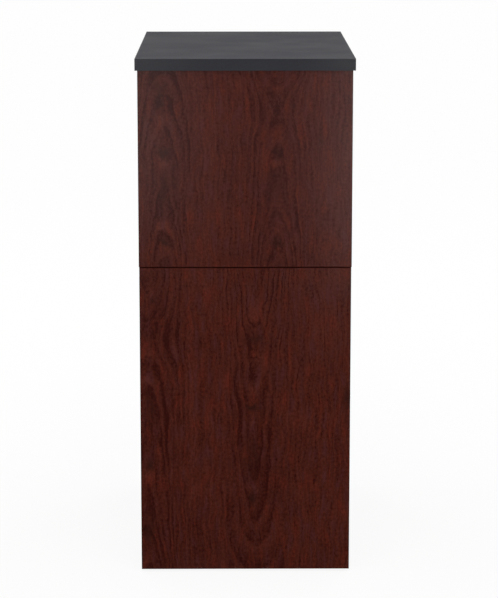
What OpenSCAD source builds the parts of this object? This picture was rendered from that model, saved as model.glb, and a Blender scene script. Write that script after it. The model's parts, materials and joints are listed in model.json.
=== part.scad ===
// Library book drop box: a laminate cabinet with a plain front, a returns slot with a hanging flap
// at the back, a sloping chute inside and a wheeled cart with a sprung platform behind the lower door.
// Front faces -Y, +Z is up, and the origin is on the floor under the middle of the top.

/* [Cabinet] */
// Width of the cabinet body
body_w = 508; // [460:1:580]
// Depth from the front panels to the back face
body_d = 760; // [700:1:840]
// Height from the floor to the top surface
total_h = 1255; // [1200:1:1350]
// Thickness of the cabinet boards
board_t = 19; // [16:0.5:22]
// Height of the seam between the door and the upper panel
seam_z = 756; // [720:1:790]
// Open gap at the seam
seam_gap = 1.5; // [1:0.1:4]
// Width of the two rails under the top
top_rail_w = 80; // [60:1:110]
// Height of the rail behind the seam
mid_rail_h = 80; // [60:1:100]
// Height of the floor glides
glide_h = 5; // [3:0.5:10]
// Distance of a glide's rim from the faces of its board
glide_edge = 1; // [0.5:0.1:3]
// Distance of the glides from the ends of the sides
glide_inset = 40; // [25:1:80]
// Chamfer at the foot of a glide
glide_chamfer = 1.5; // [0.5:0.1:2.5]
// Gap under the back panel
back_floor_gap = 12; // [8:1:30]

/* [Top] */
// Thickness of the top
top_t = 28; // [22:0.5:36]
// How far the top stands past the body all round
top_overhang = 6; // [5:0.5:12]
// Thickness of the edge bands
edge_band_t = 1; // [0.6:0.1:2]
// Distance of the top's screws from the middle
top_screw_x = 118; // [80:1:150]
// How deep the screws go into the top
top_screw_grip = 14; // [10:1:18]

/* [Door] */
// How much narrower the door is than the body, on each side
door_reveal = 1; // [0.5:0.1:2]
// Gap between the door and the floor
door_floor_gap = 6; // [4:0.5:12]
// Thickness of the bumpers between the door and the cabinet
bumper_t = 1; // [0.8:0.1:1.6]
// Radius of the door bumpers
bumper_r = 5; // [3:0.5:7]
// Height of the lower bumper above the door's bottom
bumper_rise = 120; // [60:1:250]
// Outer radius of the hinge knuckles
knuckle_r = 3; // [2.5:0.1:3.4]
// Radius of the hinge pin
hinge_pin_r = 1.5; // [1:0.1:1.8]
// Distance of the hinge leaves from the inner face of the side
hinge_leaf_edge = 2; // [1:0.5:4]
// Thickness of a hinge leaf
hinge_leaf_t = 1; // [0.8:0.1:1.2]
// Number of knuckles along the hinge
knuckle_count = 9; // [5:2:15]
// Number of screws in each hinge leaf
hinge_screw_count = 5; // [3:1:9]
// Distance of the hinge screws from the free edge of a leaf
hinge_screw_edge = 4.5; // [4:0.1:6]
// Distance of the hinge from the door's ends
hinge_end_margin = 24; // [10:1:60]
// Radius of the finger notch beside the door
notch_r = 40; // [30:1:50]
// Depth of the finger notch
notch_depth = 22; // [16:1:28]
// Height of the finger notch
notch_z = 560; // [540:1:620]

/* [Magnetic catch] */
// Distance of the catch from the middle of the cabinet
catch_x = 150; // [100:1:170]
// Width of the catch between its wings
catch_w = 44; // [36:1:60]
// Depth of the catch
catch_depth = 16; // [12:1:18]
// Height of the catch
catch_h = 14; // [12:1:20]
// Length of each wing of the catch
catch_wing = 14; // [12:1:20]
// Thickness of the catch's wings
catch_wing_t = 3; // [2:0.5:4]
// Length of the strike plate past the catch at each end
catch_strike_past = 11; // [10:1:16]

/* [Lock] */
// Height of the lock
lock_z = 430; // [330:1:450]
// Radius of the lock barrel
lock_barrel_r = 9.5; // [8:0.5:12]
// Radius of the turning plug
lock_plug_r = 6; // [5:0.5:7]
// How far the barrel stands past the side, inside the cabinet
lock_thread = 12; // [9:1:16]
// Thickness of the lock's flange
lock_flange_t = 2; // [1:0.5:3]
// Thickness of the lock's nut
lock_nut_t = 5; // [4:0.5:7]
// Reach of the cam from its axis
cam_reach = 40; // [30:1:50]
// Half the width of the cam
cam_half_w = 8; // [7:0.5:10]
// Thickness of the cam
cam_t = 2; // [1.5:0.5:3]
// Sheet thickness of the lock's strike
strike_t = 1.5; // [1:0.1:2.5]
// Width of the strike's foot on the door
strike_foot_w = 24; // [20:1:32]

/* [Drop slot] */
// Width of the slot
slot_w = 380; // [300:1:400]
// Height of the slot
slot_h = 120; // [90:1:150]
// Distance from the underside of the top down to the middle of the slot
slot_below_top = 197; // [160:1:230]
// Width of the bezel's face round the slot
bezel_face_w = 25; // [20:1:30]
// Thickness of the bezel's face
bezel_t = 2; // [1.5:0.5:3]
// Radius of the bezel's corners
bezel_corner_r = 8; // [4:1:16]
// Height between the bezel's screws
bezel_screw_span = 60; // [40:1:80]
// Thickness of the sleeve that lines the slot
sleeve_t = 1.5; // [1:0.1:2.5]
// Thickness of the flap
flap_t = 2; // [1.5:0.1:3]
// Radius of the flap's pin
flap_pin_r = 3; // [2:0.1:3.5]
// Depth of the turned lip along the flap's lower edge
flap_lip = 8; // [5:0.5:9]
// Width of the stops beside the flap
stop_w = 5; // [4:0.5:10]
// Height of the stops beside the flap
stop_h = 40; // [20:1:60]

/* [Chute] */
// Slope of the chute below the horizontal
chute_angle = 35; // [28:1:40]
// Room between the chute's lip and the cart below it
chute_room = 98; // [70:1:130]
// Sheet thickness of the chute
chute_t = 1.5; // [1:0.1:3]
// Height of the chute's side flanges
chute_flange = 30; // [20:1:45]
// Height of the chute's back flange
chute_back_flange = 40; // [25:1:60]
// Drop of the chute's front lip
chute_lip = 15; // [8:1:30]

/* [Brackets and screws] */
// Length of a bracket's legs
bracket_leg = 40; // [32:1:50]
// Thickness of a bracket
bracket_t = 2; // [1.5:0.1:3]
// Width of a bracket
bracket_w = 30; // [20:1:40]
// Distance of a bracket's holes from its corner
bracket_hole = 26; // [18:1:30]
// Height of the lower brackets on the back panel
back_bracket_low = 160; // [80:1:300]
// Height of the upper brackets on the back panel
back_bracket_high = 700; // [500:1:800]
// Radius of a pan screw's shank
pan_shank_r = 1.8; // [1.4:0.1:2.2]
// Radius of a pan screw's head
pan_head_r = 3.5; // [3:0.1:4]
// Height of a pan screw's head
pan_head_h = 2.2; // [1.6:0.1:3]
// Length of a pan screw's shank
pan_len = 14; // [10:0.5:15]
// Radius of a countersunk screw's shank
sunk_shank_r = 1.5; // [1.2:0.1:1.8]
// Radius of a countersunk screw's head
sunk_head_r = 3; // [2.4:0.1:3.4]
// Height of a countersunk screw's head
sunk_head_h = 1.6; // [1.2:0.1:2]
// Length of a countersunk screw
sunk_len = 13; // [10:0.5:14]
// Length of the strike screws' shanks
strike_screw_len = 10; // [7:0.5:13]

/* [Cart] */
// Room between the cart and each side of the cabinet
cart_side_room = 25; // [22:1:40]
// Room between the push handle and the front of the cabinet
handle_room = 52; // [48:1:75]
// Room between the cart and the back panel
cart_rear_room = 33; // [30:1:60]
// Room between the cart and the rail above it
cart_head_room = 35; // [25:1:80]
// Thickness of the cart's base
cart_base_t = 15; // [12:1:20]
// Size of the square tubes of the cart's frame
cart_tube = 20; // [18:1:25]
// Wall of the square tubes
cart_tube_wall = 1.5; // [1:0.1:3]
// Height of the guide strips beside the cart
guide_h = 30; // [24:1:44]
// Distance of the guide strips from the ends of the cabinet's inside
guide_inset = 40; // [20:1:80]
// How deep the screws of the guide strips go into the sides
guide_screw_grip = 12; // [8:1:14]
// Sheet thickness of the cart's walls
cart_wall_t = 2; // [1:0.1:4]
// Height of the gate at the cart's front
cart_gate_h = 260; // [180:1:320]
// Thickness of the plates that hold the guide rods
gusset_t = 3; // [2:0.5:5]
// Radius of the push handle's tube
handle_r = 8; // [6:0.5:9]
// Half the width of the push handle
handle_half_w = 110; // [80:1:130]
// How far the push handle stands forward
handle_reach = 40; // [34:1:50]
// Radius of the push handle's bends
handle_bend_r = 20; // [12:1:28]

/* [Platform] */
// Depth of the empty platform below the cart's rim
platform_drop = 150; // [120:1:200]
// Thickness of the platform board
platform_t = 12; // [10:0.5:18]
// Thickness of the carpet pad
pad_t = 6; // [3:0.5:10]
// Room round the platform inside the frame
platform_room = 4; // [3:0.5:10]
// Radius of the guide rods
rod_r = 6; // [5:0.5:7]
// Distance of the guide rods from the cart's outer faces
rod_inset = 42; // [40:1:60]
// Wall of the bushes that ride on the rods
bush_wall = 4; // [3:0.5:6]
// Thickness of a bush's flange
bush_flange_t = 4; // [3:0.5:6]
// Wall of the collars that stop the platform
collar_wall = 6; // [5:0.5:8]
// Height of the collars
collar_h = 9; // [7:0.5:14]
// Turns of each spring
spring_turns = 14; // [8:1:20]
// Room between a spring and its guide rod
spring_room = 2.6; // [1.5:0.1:4]
// Radius of the spring wire
spring_wire_r = 1.4; // [1:0.1:1.6]

/* [Casters] */
// Radius of the wheels
wheel_r = 37.5; // [30:0.5:42]
// Width of the wheels' treads
wheel_w = 24; // [18:1:28]
// Depth of the tread round a wheel
tread_depth = 10; // [7:0.5:14]
// Chamfer at the edges of the tread
tread_chamfer = 3; // [1:0.5:5]
// Thickness of a wheel's web
web_t = 11; // [8:0.5:16]
// Wall of a wheel's hub
hub_wall = 8; // [5:0.5:10]
// How far a hub stands past the tread on each side
hub_proud = 1.2; // [0.6:0.1:3]
// Radius of the wheel axles
axle_r = 4; // [3:0.5:5]
// Trail of the swivel casters
caster_trail = 28; // [20:1:32]
// Room over the wheels under their forks
wheel_head_room = 10; // [6:0.5:16]
// Room between a swinging caster and the edge of the cart's base
caster_edge_room = 6; // [3:0.5:20]
// Side of a caster's square plate
caster_plate_w = 70; // [64:1:80]
// Thickness of a caster's plate
caster_plate_t = 3; // [2:0.5:5]
// Radius of the boss that a swivel fork turns in
swivel_boss_r = 22; // [16:1:26]
// Height of the boss that a swivel fork turns in
swivel_boss_h = 8; // [6:0.5:12]
// Radius of the swivel pins
king_pin_r = 5; // [4:0.5:7]
// Sheet thickness of the forks' cheeks
fork_t = 2.5; // [2:0.1:4]
// Sheet thickness of the forks' tops
fork_top_t = 3; // [2:0.5:5]
// Half the length of the forks' tops
fork_half_len = 20; // [16:1:24]
// Wall round the axle holes of the forks
fork_boss_wall = 6; // [4:0.5:8]
// Radius of the caster bolts
bolt_r = 3; // [2.5:0.5:4]
// Distance of the caster bolts from the plate's edges
bolt_edge = 8; // [7:0.5:12]

/* [Clearances] */
// Running clearance round pins and shafts
run_gap = 0.05; // [0.02:0.01:0.1]
// Clearance of fitted pieces
fit_gap = 0.2; // [0.1:0.05:0.4]
// Gap between faces that move past each other
face_gap = 0.3; // [0.2:0.05:0.6]

/* [Hidden] */
$fn = 48;
sides = [-1, 1];
// How far a cut runs past the face it opens
past = 1;

// Colours
mahogany = "#4a2119";
mahogany_edge = "#2c130f";
black_laminate = "#3a3a3d";
black_band = "#2a2b2e";
core_board = "#6e5a48";
zinc = "#b4b7ba";
steel = "#8f9296";
black_steel = "#232427";
brass = "#b8964e";
cart_grey = "#6f757b";
rubber = "#1d1d1f";
carpet = "#3d4248";
nylon = "#e4e0d5";
pale_plastic = "#d8d3c8";

// Cabinet planes
half_w = body_w / 2;
inner_half_w = half_w - board_t;
front_y = -body_d / 2;
back_y = body_d / 2;
carcass_y = front_y + board_t;
back_inner_y = back_y - board_t;
carcass_top = total_h - top_t;
rail_bottom = carcass_top - board_t;
mid_rail_bottom = seam_z - mid_rail_h / 2;
glide_r = board_t / 2 - glide_edge;

// Door planes
door_t = board_t - bumper_t;
door_back_y = front_y + door_t;
door_half_w = half_w - door_reveal;
door_bottom = door_floor_gap;
door_top = seam_z - seam_gap / 2;
bumper_over_notch = 30;
bumper_z = [door_bottom + bumper_rise, notch_z + notch_r + bumper_over_notch];

// Piano hinge: the reliefs let the door's edge turn past the side
hinge_x = -(half_w - knuckle_r);
hinge_y = carcass_y - bumper_t / 2;
hinge_leaf_w = board_t - hinge_leaf_edge - knuckle_r;
hinge_bottom = door_bottom + hinge_end_margin;
hinge_top = door_top - hinge_end_margin;
hinge_len = hinge_top - hinge_bottom;
knuckle_pitch = hinge_len / knuckle_count;
knuckle_gap = 2 * fit_gap;
knuckle_relief = 2 * fit_gap;
door_relief = 1;
side_relief = 2.4;
door_relief_r = knuckle_r + door_relief;
side_relief_r = knuckle_r + side_relief;
hinge_screw_x = hinge_x + hinge_leaf_w - hinge_screw_edge;

// Screw heads
recess_w = 0.9;
recess_depth = 1;
pan_head_slope = 1;

// Magnetic catch
catch_strike_t = bumper_t - fit_gap;
catch_strike_half = catch_w / 2 + catch_strike_past;
catch_strike_screw = catch_w / 2 + pan_head_r + 2 * fit_gap;

// Lock: the cam points at the door when open, and down behind the strike's lip when locked
cam_front_gap = 2;
lock_y = carcass_y + cam_front_gap + cam_reach;
lock_flange_lip = 3;
lock_nut_wall = 4.5;
lock_flange_r = lock_barrel_r + lock_flange_lip;
lock_nut_r = lock_barrel_r + lock_nut_wall;
plug_past_barrel = 2;
cam_x = inner_half_w - lock_thread - plug_past_barrel;
cam_screw_r = 2;
cam_screw_head_r = 4.5;
cam_screw_head_h = 2.5;
cam_screw_len = 8;
key_slot_depth = 5;
key_slot_w = 1.6;
key_slot_h = 8;
strike_leg_room = 5;
strike_lip_past = 4;
strike_lip_room = 1;
strike_tip_past = 6;
strike_leg_x = cam_x - cam_t - cam_screw_head_h - strike_leg_room;
strike_lip_end_x = cam_x + strike_lip_past;
strike_lip_y = lock_y + cam_half_w + strike_lip_room;
strike_low = lock_z - cam_reach - strike_tip_past;
strike_high = lock_z - cam_reach / 2;
strike_screw_edge = 6;

// Drop slot
slot_z = carcass_top - slot_below_top;
slot_low = slot_z - slot_h / 2;
slot_high = slot_z + slot_h / 2;
flap_knuckle_wall = 2;
flap_edge_gap = 2;
flap_side_gap = 1.5;
flap_knuckle_r = flap_pin_r + flap_knuckle_wall;
flap_pin_y = back_y - board_t / 2;
flap_pin_z = slot_high - flap_edge_gap - flap_knuckle_r;
flap_half_w = slot_w / 2 - flap_side_gap;
flap_low = slot_low + flap_edge_gap;
stop_t = 2;

// Cart
cart_setback = handle_room + handle_r + handle_reach;
cart_half_w = inner_half_w - cart_side_room;
cart_front = carcass_y + cart_setback;
cart_rear = back_inner_y - cart_rear_room;
caster_h = 2 * wheel_r + wheel_head_room + fork_top_t + face_gap + swivel_boss_h + caster_plate_t;
cart_floor = caster_h + cart_base_t;
cart_top = mid_rail_bottom - cart_head_room;
rim_z = cart_top - cart_tube;
guide_t = cart_side_room - face_gap;
guide_z = caster_h + cart_base_t / 2;
guide_y = [carcass_y + guide_inset, back_inner_y - guide_inset];
guide_screw_end = 50;
tub_half_w = cart_half_w - cart_tube;
tub_y = [cart_front + cart_tube, cart_rear - cart_tube];
rod_margin = 12;
rod_x = cart_half_w - rod_inset;
rod_y = [cart_front + rod_inset, cart_rear - rod_inset];

// Chute, measured in the YZ plane: it runs down from the slot until its lip is over the cart
chute_drop_gap = 1;
chute_start = [back_inner_y, slot_low - sleeve_t - chute_drop_gap];
chute_run = [-cos(chute_angle), -sin(chute_angle)];
chute_up = [-sin(chute_angle), cos(chute_angle)];
chute_len = (chute_start[1] - chute_lip - chute_room - cart_top) / sin(chute_angle);
chute_screw_end = 70;
chute_back_screw_x = 150;

// Platform and springs
platform_z = rim_z - platform_drop;
pad_z = platform_z + platform_t;
pad_top = pad_z + pad_t;
platform_half_w = tub_half_w - platform_room;
platform_y = [tub_y[0] + platform_room, tub_y[1] - platform_room];
bush_r = rod_r + bush_wall;
spring_r = rod_r + spring_room + spring_wire_r;
bush_flange_lip = 2;
bush_flange_r = spring_r + spring_wire_r + bush_flange_lip;
collar_r = rod_r + collar_wall;
collar_screw_r = 1.5;
spring_low = cart_floor;
spring_high = platform_z - bush_flange_t;

// Casters
hub_r = axle_r + hub_wall;
hub_half_w = wheel_w / 2 + hub_proud;
fork_inner = hub_half_w + face_gap;
fork_outer = fork_inner + fork_t;
fork_boss_r = axle_r + fork_boss_wall;
caster_swing_r = norm([caster_trail + wheel_r, wheel_w / 2]);
caster_x = cart_half_w - caster_swing_r - caster_edge_room;
caster_front_y = cart_front + caster_swing_r + caster_edge_room;
caster_rear_y = cart_rear - caster_swing_r - caster_edge_room;
plate_z = caster_h - caster_plate_t;
fork_top_z = plate_z - swivel_boss_h - face_gap;
axle_head_lip = 3;
axle_head_r = axle_r + axle_head_lip;
axle_head_h = 3;
bolt_head_lip = 2;
bolt_head_r = bolt_r + bolt_head_lip;
bolt_head_h = 3.5;
bolt_cover = 3;
bolt_grip = cart_base_t - bolt_cover;
bolt_offset = caster_plate_w / 2 - bolt_edge;

// Basic shapes
module block(x, y, z) {
    translate([x[0], y[0], z[0]]) cube([x[1] - x[0], y[1] - y[0], z[1] - z[0]]);
}

// Round bar along X between two x values
module bar(r, x, y, z) {
    translate([x[0], y, z]) rotate([0, 90, 0]) cylinder(r = r, h = x[1] - x[0]);
}

// Draws on the left or the right what is modelled on the right
module on_side(s) {
    mirror([s < 0 ? 1 : 0, 0, 0]) children();
}

function ordered(a, b) = [min(a, b), max(a, b)];

// Turn that points a screw, modelled with its tip down, along an axis direction
function turn(d) =
    d[0] != 0 ? [0, -90 * d[0], 0] :
    d[1] != 0 ? [90 * d[1], 0, 0] :
    d[2] > 0 ? [180, 0, 0] : [0, 0, 0];

// A screw place is [point under the head, direction of the tip, length]
module at_place(place) {
    translate(place[0]) rotate(turn(place[1])) children();
}

module pan_screw(place) {
    at_place(place) difference() {
        union() {
            cylinder(r1 = pan_head_r, r2 = pan_head_r - pan_head_slope, h = pan_head_h);
            translate([0, 0, -place[2]]) cylinder(r = pan_shank_r, h = place[2] + pan_head_h / 2);
        }
        cross_recess(pan_head_h, pan_head_r);
    }
}

module sunk_screw(place) {
    at_place(place) difference() {
        union() {
            translate([0, 0, -sunk_head_h])
                cylinder(r1 = sunk_shank_r, r2 = sunk_head_r, h = sunk_head_h);
            translate([0, 0, -place[2]]) cylinder(r = sunk_shank_r, h = place[2] - sunk_head_h / 2);
        }
        cross_recess(0, sunk_head_r);
    }
}

module cross_recess(height, arm) {
    for (angle = [0, 90])
        rotate([0, 0, angle]) translate([-arm / 2, -recess_w / 2, height - recess_depth])
            cube([arm, recess_w, recess_depth + past]);
}

module pan_holes(places) {
    for (place = places)
        at_place(place) translate([0, 0, -place[2] - fit_gap])
            cylinder(r = pan_shank_r + fit_gap / 2, h = place[2] + fit_gap + past);
}

module sunk_holes(places) {
    wide = fit_gap / 2;
    for (place = places) at_place(place) {
        translate([0, 0, -place[2] - fit_gap]) cylinder(r = sunk_shank_r + wide, h = place[2]);
        translate([0, 0, -sunk_head_h])
            cylinder(r1 = sunk_shank_r + wide, r2 = sunk_head_r + wide, h = sunk_head_h);
        translate([0, 0, -wide]) cylinder(r = sunk_head_r + wide, h = past);
    }
}

// An upright bracket is [side, y of its corner, way its leg runs along y, height]
rail_brackets = [for (s = sides) [s, carcass_y + board_t, 1, seam_z]];
panel_brackets = [for (s = sides) [s, carcass_y, 1, (seam_z + carcass_top) / 2]];
back_brackets = [for (s = sides, z = [back_bracket_low, back_bracket_high]) [s, back_inner_y, -1, z]];
upright_brackets = concat(rail_brackets, panel_brackets, back_brackets);

// A hanging bracket is [side, y of its middle]
hanging_brackets = [
    for (s = sides, y = [carcass_y + top_rail_w / 2, back_inner_y - top_rail_w / 2]) [s, y]
];

// Screws of the brackets, into the sides and into the boards that they hold
function upright_side_screw(b) =
    [[b[0] * (inner_half_w - bracket_t), b[1] + b[2] * bracket_hole, b[3]], [b[0], 0, 0], pan_len];
function upright_face_screw(b) =
    [[b[0] * (inner_half_w - bracket_hole), b[1] + b[2] * bracket_t, b[3]], [0, -b[2], 0], pan_len];
function hanging_side_screw(b) =
    [[b[0] * (inner_half_w - bracket_t), b[1], rail_bottom - bracket_hole], [b[0], 0, 0], pan_len];
function hanging_face_screw(b) =
    [[b[0] * (inner_half_w - bracket_hole), b[1], rail_bottom - bracket_t], [0, 0, 1], pan_len];

rail_screws = [for (b = rail_brackets) upright_face_screw(b)];
panel_face_screws = [for (b = panel_brackets) upright_face_screw(b)];
back_face_screws = [for (b = back_brackets) upright_face_screw(b)];
top_rail_screws = [for (b = hanging_brackets) hanging_face_screw(b)];
bracket_side_screws = concat(
    [for (b = upright_brackets) upright_side_screw(b)],
    [for (b = hanging_brackets) hanging_side_screw(b)]
);
bracket_screws = concat(
    rail_screws, panel_face_screws, back_face_screws, top_rail_screws, bracket_side_screws
);

// Screws of the chute, the catch, the top, the bezel, the hinge, the strikes and the cart guides
function chute_point(along, up) = chute_start + along * chute_run + up * chute_up;

chute_side_screws = [
    for (s = sides, along = [chute_screw_end, chute_len - chute_screw_end])
        let (p = chute_point(along, chute_flange / 2))
        [[s * (inner_half_w - chute_t), p[0], p[1]], [s, 0, 0], pan_len]
];
chute_back_screws = [
    for (x = [-1, 0, 1] * chute_back_screw_x)
        [[x, back_inner_y - chute_t, chute_start[1] - chute_back_flange / 2], [0, 1, 0], pan_len]
];
catch_screws = [
    for (s = sides)
        let (x = catch_x + s * (catch_w + catch_wing) / 2)
        [[x, carcass_y + catch_depth / 2, mid_rail_bottom - catch_wing_t], [0, 0, 1], pan_len]
];
top_screws = [
    for (s = sides, y = [carcass_y + top_rail_w / 2, back_inner_y - top_rail_w / 2])
        [[s * top_screw_x, y, rail_bottom], [0, 0, 1], board_t + top_screw_grip]
];
bezel_screw_places = [
    for (s = sides, t = sides)
        let (x = s * (slot_w + bezel_face_w) / 2)
        [[x, back_y + bezel_t, slot_z + t * bezel_screw_span / 2], [0, -1, 0], pan_len]
];
hinge_screw_z = [
    for (i = [0 : hinge_screw_count - 1]) hinge_bottom + (i + 0.5) * hinge_len / hinge_screw_count
];
cabinet_hinge_screws = [for (z = hinge_screw_z) [[hinge_screw_x, carcass_y, z], [0, 1, 0], sunk_len]];
door_hinge_screws = [for (z = hinge_screw_z) [[hinge_screw_x, door_back_y, z], [0, -1, 0], sunk_len]];
catch_strike_screws = [
    for (s = sides)
        let (x = catch_x + s * catch_strike_screw)
        [[x, door_back_y + catch_strike_t, mid_rail_bottom - catch_h / 2], [0, -1, 0], strike_screw_len]
];
lock_strike_screws = [
    for (z = [strike_low + strike_screw_edge, strike_high - strike_screw_edge])
        [[strike_leg_x - strike_foot_w / 2, door_back_y + strike_t, z], [0, -1, 0], strike_screw_len]
];
guide_screws = [
    for (s = sides, y = [guide_y[0] + guide_screw_end, 0, guide_y[1] - guide_screw_end])
        [[s * (inner_half_w - guide_t), y, guide_z], [s, 0, 0], guide_t + guide_screw_grip]
];

// Cabinet boards
module side_board(s) {
    block(ordered(s * inner_half_w, s * half_w), [carcass_y, back_y], [glide_h, carcass_top]);
}

function on_x_side(places, s) = [for (p = places) if (p[1][0] == s) p];

module left_side() {
    color(mahogany) difference() {
        side_board(-1);
        translate([hinge_x, hinge_y, glide_h - past])
            cylinder(r = side_relief_r, h = seam_z - glide_h + past);
        block([hinge_x, hinge_x + hinge_leaf_w], [carcass_y - past, carcass_y + hinge_leaf_t],
            [hinge_bottom, hinge_top]);
        sunk_holes(cabinet_hinge_screws);
        pan_holes(on_x_side(bracket_side_screws, -1));
        pan_holes(on_x_side(chute_side_screws, -1));
        sunk_holes(on_x_side(guide_screws, -1));
    }
}

module right_side() {
    through = [inner_half_w - past, half_w + past];
    color(mahogany) difference() {
        side_board(1);
        bar(notch_r, through, carcass_y + notch_depth - notch_r, notch_z);
        bar(lock_barrel_r + fit_gap, through, lock_y, lock_z);
        pan_holes(on_x_side(bracket_side_screws, 1));
        pan_holes(on_x_side(chute_side_screws, 1));
        sunk_holes(on_x_side(guide_screws, 1));
    }
}

module back_panel() {
    cut_w = slot_w / 2 + sleeve_t + fit_gap;
    cut_h = slot_h / 2 + sleeve_t + fit_gap;
    color(mahogany) difference() {
        block([-inner_half_w, inner_half_w], [back_inner_y, back_y], [back_floor_gap, carcass_top]);
        block([-cut_w, cut_w], [back_inner_y - past, back_y + past], [slot_z - cut_h, slot_z + cut_h]);
        pan_holes(back_face_screws);
        pan_holes(chute_back_screws);
        pan_holes(bezel_screw_places);
    }
}

module upper_front_panel() {
    half = half_w - edge_band_t;
    color(mahogany) difference() {
        block([-half, half], [front_y, carcass_y],
            [seam_z + seam_gap / 2 + edge_band_t, carcass_top - edge_band_t]);
        pan_holes(panel_face_screws);
    }
}

module front_edge_band(half, y, z) {
    inner = half - edge_band_t;
    difference() {
        block([-half, half], y, z);
        block([-inner, inner], [y[0] - past, y[1] + past], [z[0] + edge_band_t, z[1] - edge_band_t]);
    }
}

module upper_panel_edge_band() {
    color(mahogany_edge) front_edge_band(half_w, [front_y, carcass_y], [seam_z + seam_gap / 2, carcass_top]);
}

module top_panel() {
    out = top_overhang - edge_band_t;
    color(black_laminate) difference() {
        block([-1, 1] * (half_w + out), [-1, 1] * (back_y + out), [carcass_top, total_h]);
        pan_holes(top_screws);
    }
}

module top_edge_band() {
    out = top_overhang - edge_band_t;
    color(black_band) difference() {
        block([-1, 1] * (half_w + top_overhang), [-1, 1] * (back_y + top_overhang), [carcass_top, total_h]);
        block([-1, 1] * (half_w + out), [-1, 1] * (back_y + out), [carcass_top - past, total_h + past]);
    }
}

module top_rail(y) {
    color(core_board) difference() {
        block([-inner_half_w, inner_half_w], y, [rail_bottom, carcass_top]);
        pan_holes(top_rail_screws);
        pan_holes(top_screws);
    }
}

module top_rail_front() {
    top_rail([carcass_y, carcass_y + top_rail_w]);
}

module top_rail_rear() {
    top_rail([back_inner_y - top_rail_w, back_inner_y]);
}

module mid_rail() {
    color(mahogany) difference() {
        block([-inner_half_w, inner_half_w], [carcass_y, carcass_y + board_t],
            [mid_rail_bottom, mid_rail_bottom + mid_rail_h]);
        pan_holes(rail_screws);
        pan_holes(catch_screws);
    }
}

module upright_bracket(b) {
    z = [b[3] - bracket_w / 2, b[3] + bracket_w / 2];
    on_side(b[0]) {
        block([inner_half_w - bracket_t, inner_half_w], ordered(b[1], b[1] + b[2] * bracket_leg), z);
        block([inner_half_w - bracket_leg, inner_half_w], ordered(b[1], b[1] + b[2] * bracket_t), z);
    }
}

module hanging_bracket(b) {
    y = [b[1] - bracket_w / 2, b[1] + bracket_w / 2];
    on_side(b[0]) {
        block([inner_half_w - bracket_t, inner_half_w], y, [rail_bottom - bracket_leg, rail_bottom]);
        block([inner_half_w - bracket_leg, inner_half_w], y, [rail_bottom - bracket_t, rail_bottom]);
    }
}

module corner_brackets() {
    color(zinc) difference() {
        union() {
            for (b = upright_brackets) upright_bracket(b);
            for (b = hanging_brackets) hanging_bracket(b);
        }
        pan_holes(bracket_screws);
    }
}

module panel_screws() {
    places = concat(bracket_screws, chute_side_screws, chute_back_screws, catch_screws, top_screws);
    color(zinc) {
        for (place = places) pan_screw(place);
        for (place = guide_screws) sunk_screw(place);
    }
}

module floor_glides() {
    color(rubber)
        for (s = sides, y = [carcass_y + glide_inset, back_y - glide_inset])
            translate([s * (half_w - board_t / 2), y, 0]) {
                cylinder(r1 = glide_r - glide_chamfer, r2 = glide_r, h = glide_chamfer);
                translate([0, 0, glide_chamfer]) cylinder(r = glide_r, h = glide_h - glide_chamfer);
            }
}

module door_bumpers() {
    color(rubber)
        for (z = bumper_z)
            translate([half_w - board_t / 2, carcass_y, z]) rotate([90, 0, 0])
                cylinder(r = bumper_r, h = bumper_t);
}

// Drop slot at the back
module rounded_plate(half, high, y, r) {
    block([-half + r, half - r], y, [slot_z - high, slot_z + high]);
    block([-half, half], y, [slot_z - high + r, slot_z + high - r]);
    for (s = sides, t = sides)
        translate([s * (half - r), y[1], slot_z + t * (high - r)]) rotate([90, 0, 0])
            cylinder(r = r, h = y[1] - y[0]);
}

module slot_bezel() {
    stop_y = flap_pin_y + flap_t / 2 + face_gap;
    lined = slot_w / 2 + sleeve_t;
    color(steel) {
        difference() {
            union() {
                rounded_plate(slot_w / 2 + bezel_face_w, slot_h / 2 + bezel_face_w,
                    [back_y, back_y + bezel_t], bezel_corner_r);
                block([-lined, lined], [back_inner_y, back_y + bezel_t],
                    [slot_low - sleeve_t, slot_high + sleeve_t]);
            }
            block([-1, 1] * slot_w / 2, [back_inner_y - past, back_y + bezel_t + past],
                [slot_low, slot_high]);
            bar(flap_pin_r + run_gap, [-lined - past, lined + past], flap_pin_y, flap_pin_z);
            pan_holes(bezel_screw_places);
        }
        for (s = sides)
            on_side(s)
                block([slot_w / 2 - stop_w, slot_w / 2], [stop_y, stop_y + stop_t],
                    [slot_low, slot_low + stop_h]);
    }
}

module bezel_screws() {
    color(black_steel) for (place = bezel_screw_places) pan_screw(place);
}

module flap_pin() {
    lined = slot_w / 2 + sleeve_t;
    color(zinc) bar(flap_pin_r, [-lined, lined], flap_pin_y, flap_pin_z);
}

module drop_flap() {
    across = [-flap_half_w, flap_half_w];
    color(black_steel) difference() {
        union() {
            block(across, [flap_pin_y - flap_t / 2, flap_pin_y + flap_t / 2], [flap_low, flap_pin_z]);
            block(across, [flap_pin_y - flap_lip, flap_pin_y], [flap_low, flap_low + flap_t]);
            bar(flap_knuckle_r, across, flap_pin_y, flap_pin_z);
        }
        bar(flap_pin_r + run_gap, [-flap_half_w - past, flap_half_w + past], flap_pin_y, flap_pin_z);
    }
}

// Outline in the YZ plane, drawn across a range of X
module sheet(x, outline) {
    translate([x[0], 0, 0]) rotate([90, 0, 90]) linear_extrude(x[1] - x[0]) polygon(outline);
}

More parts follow.
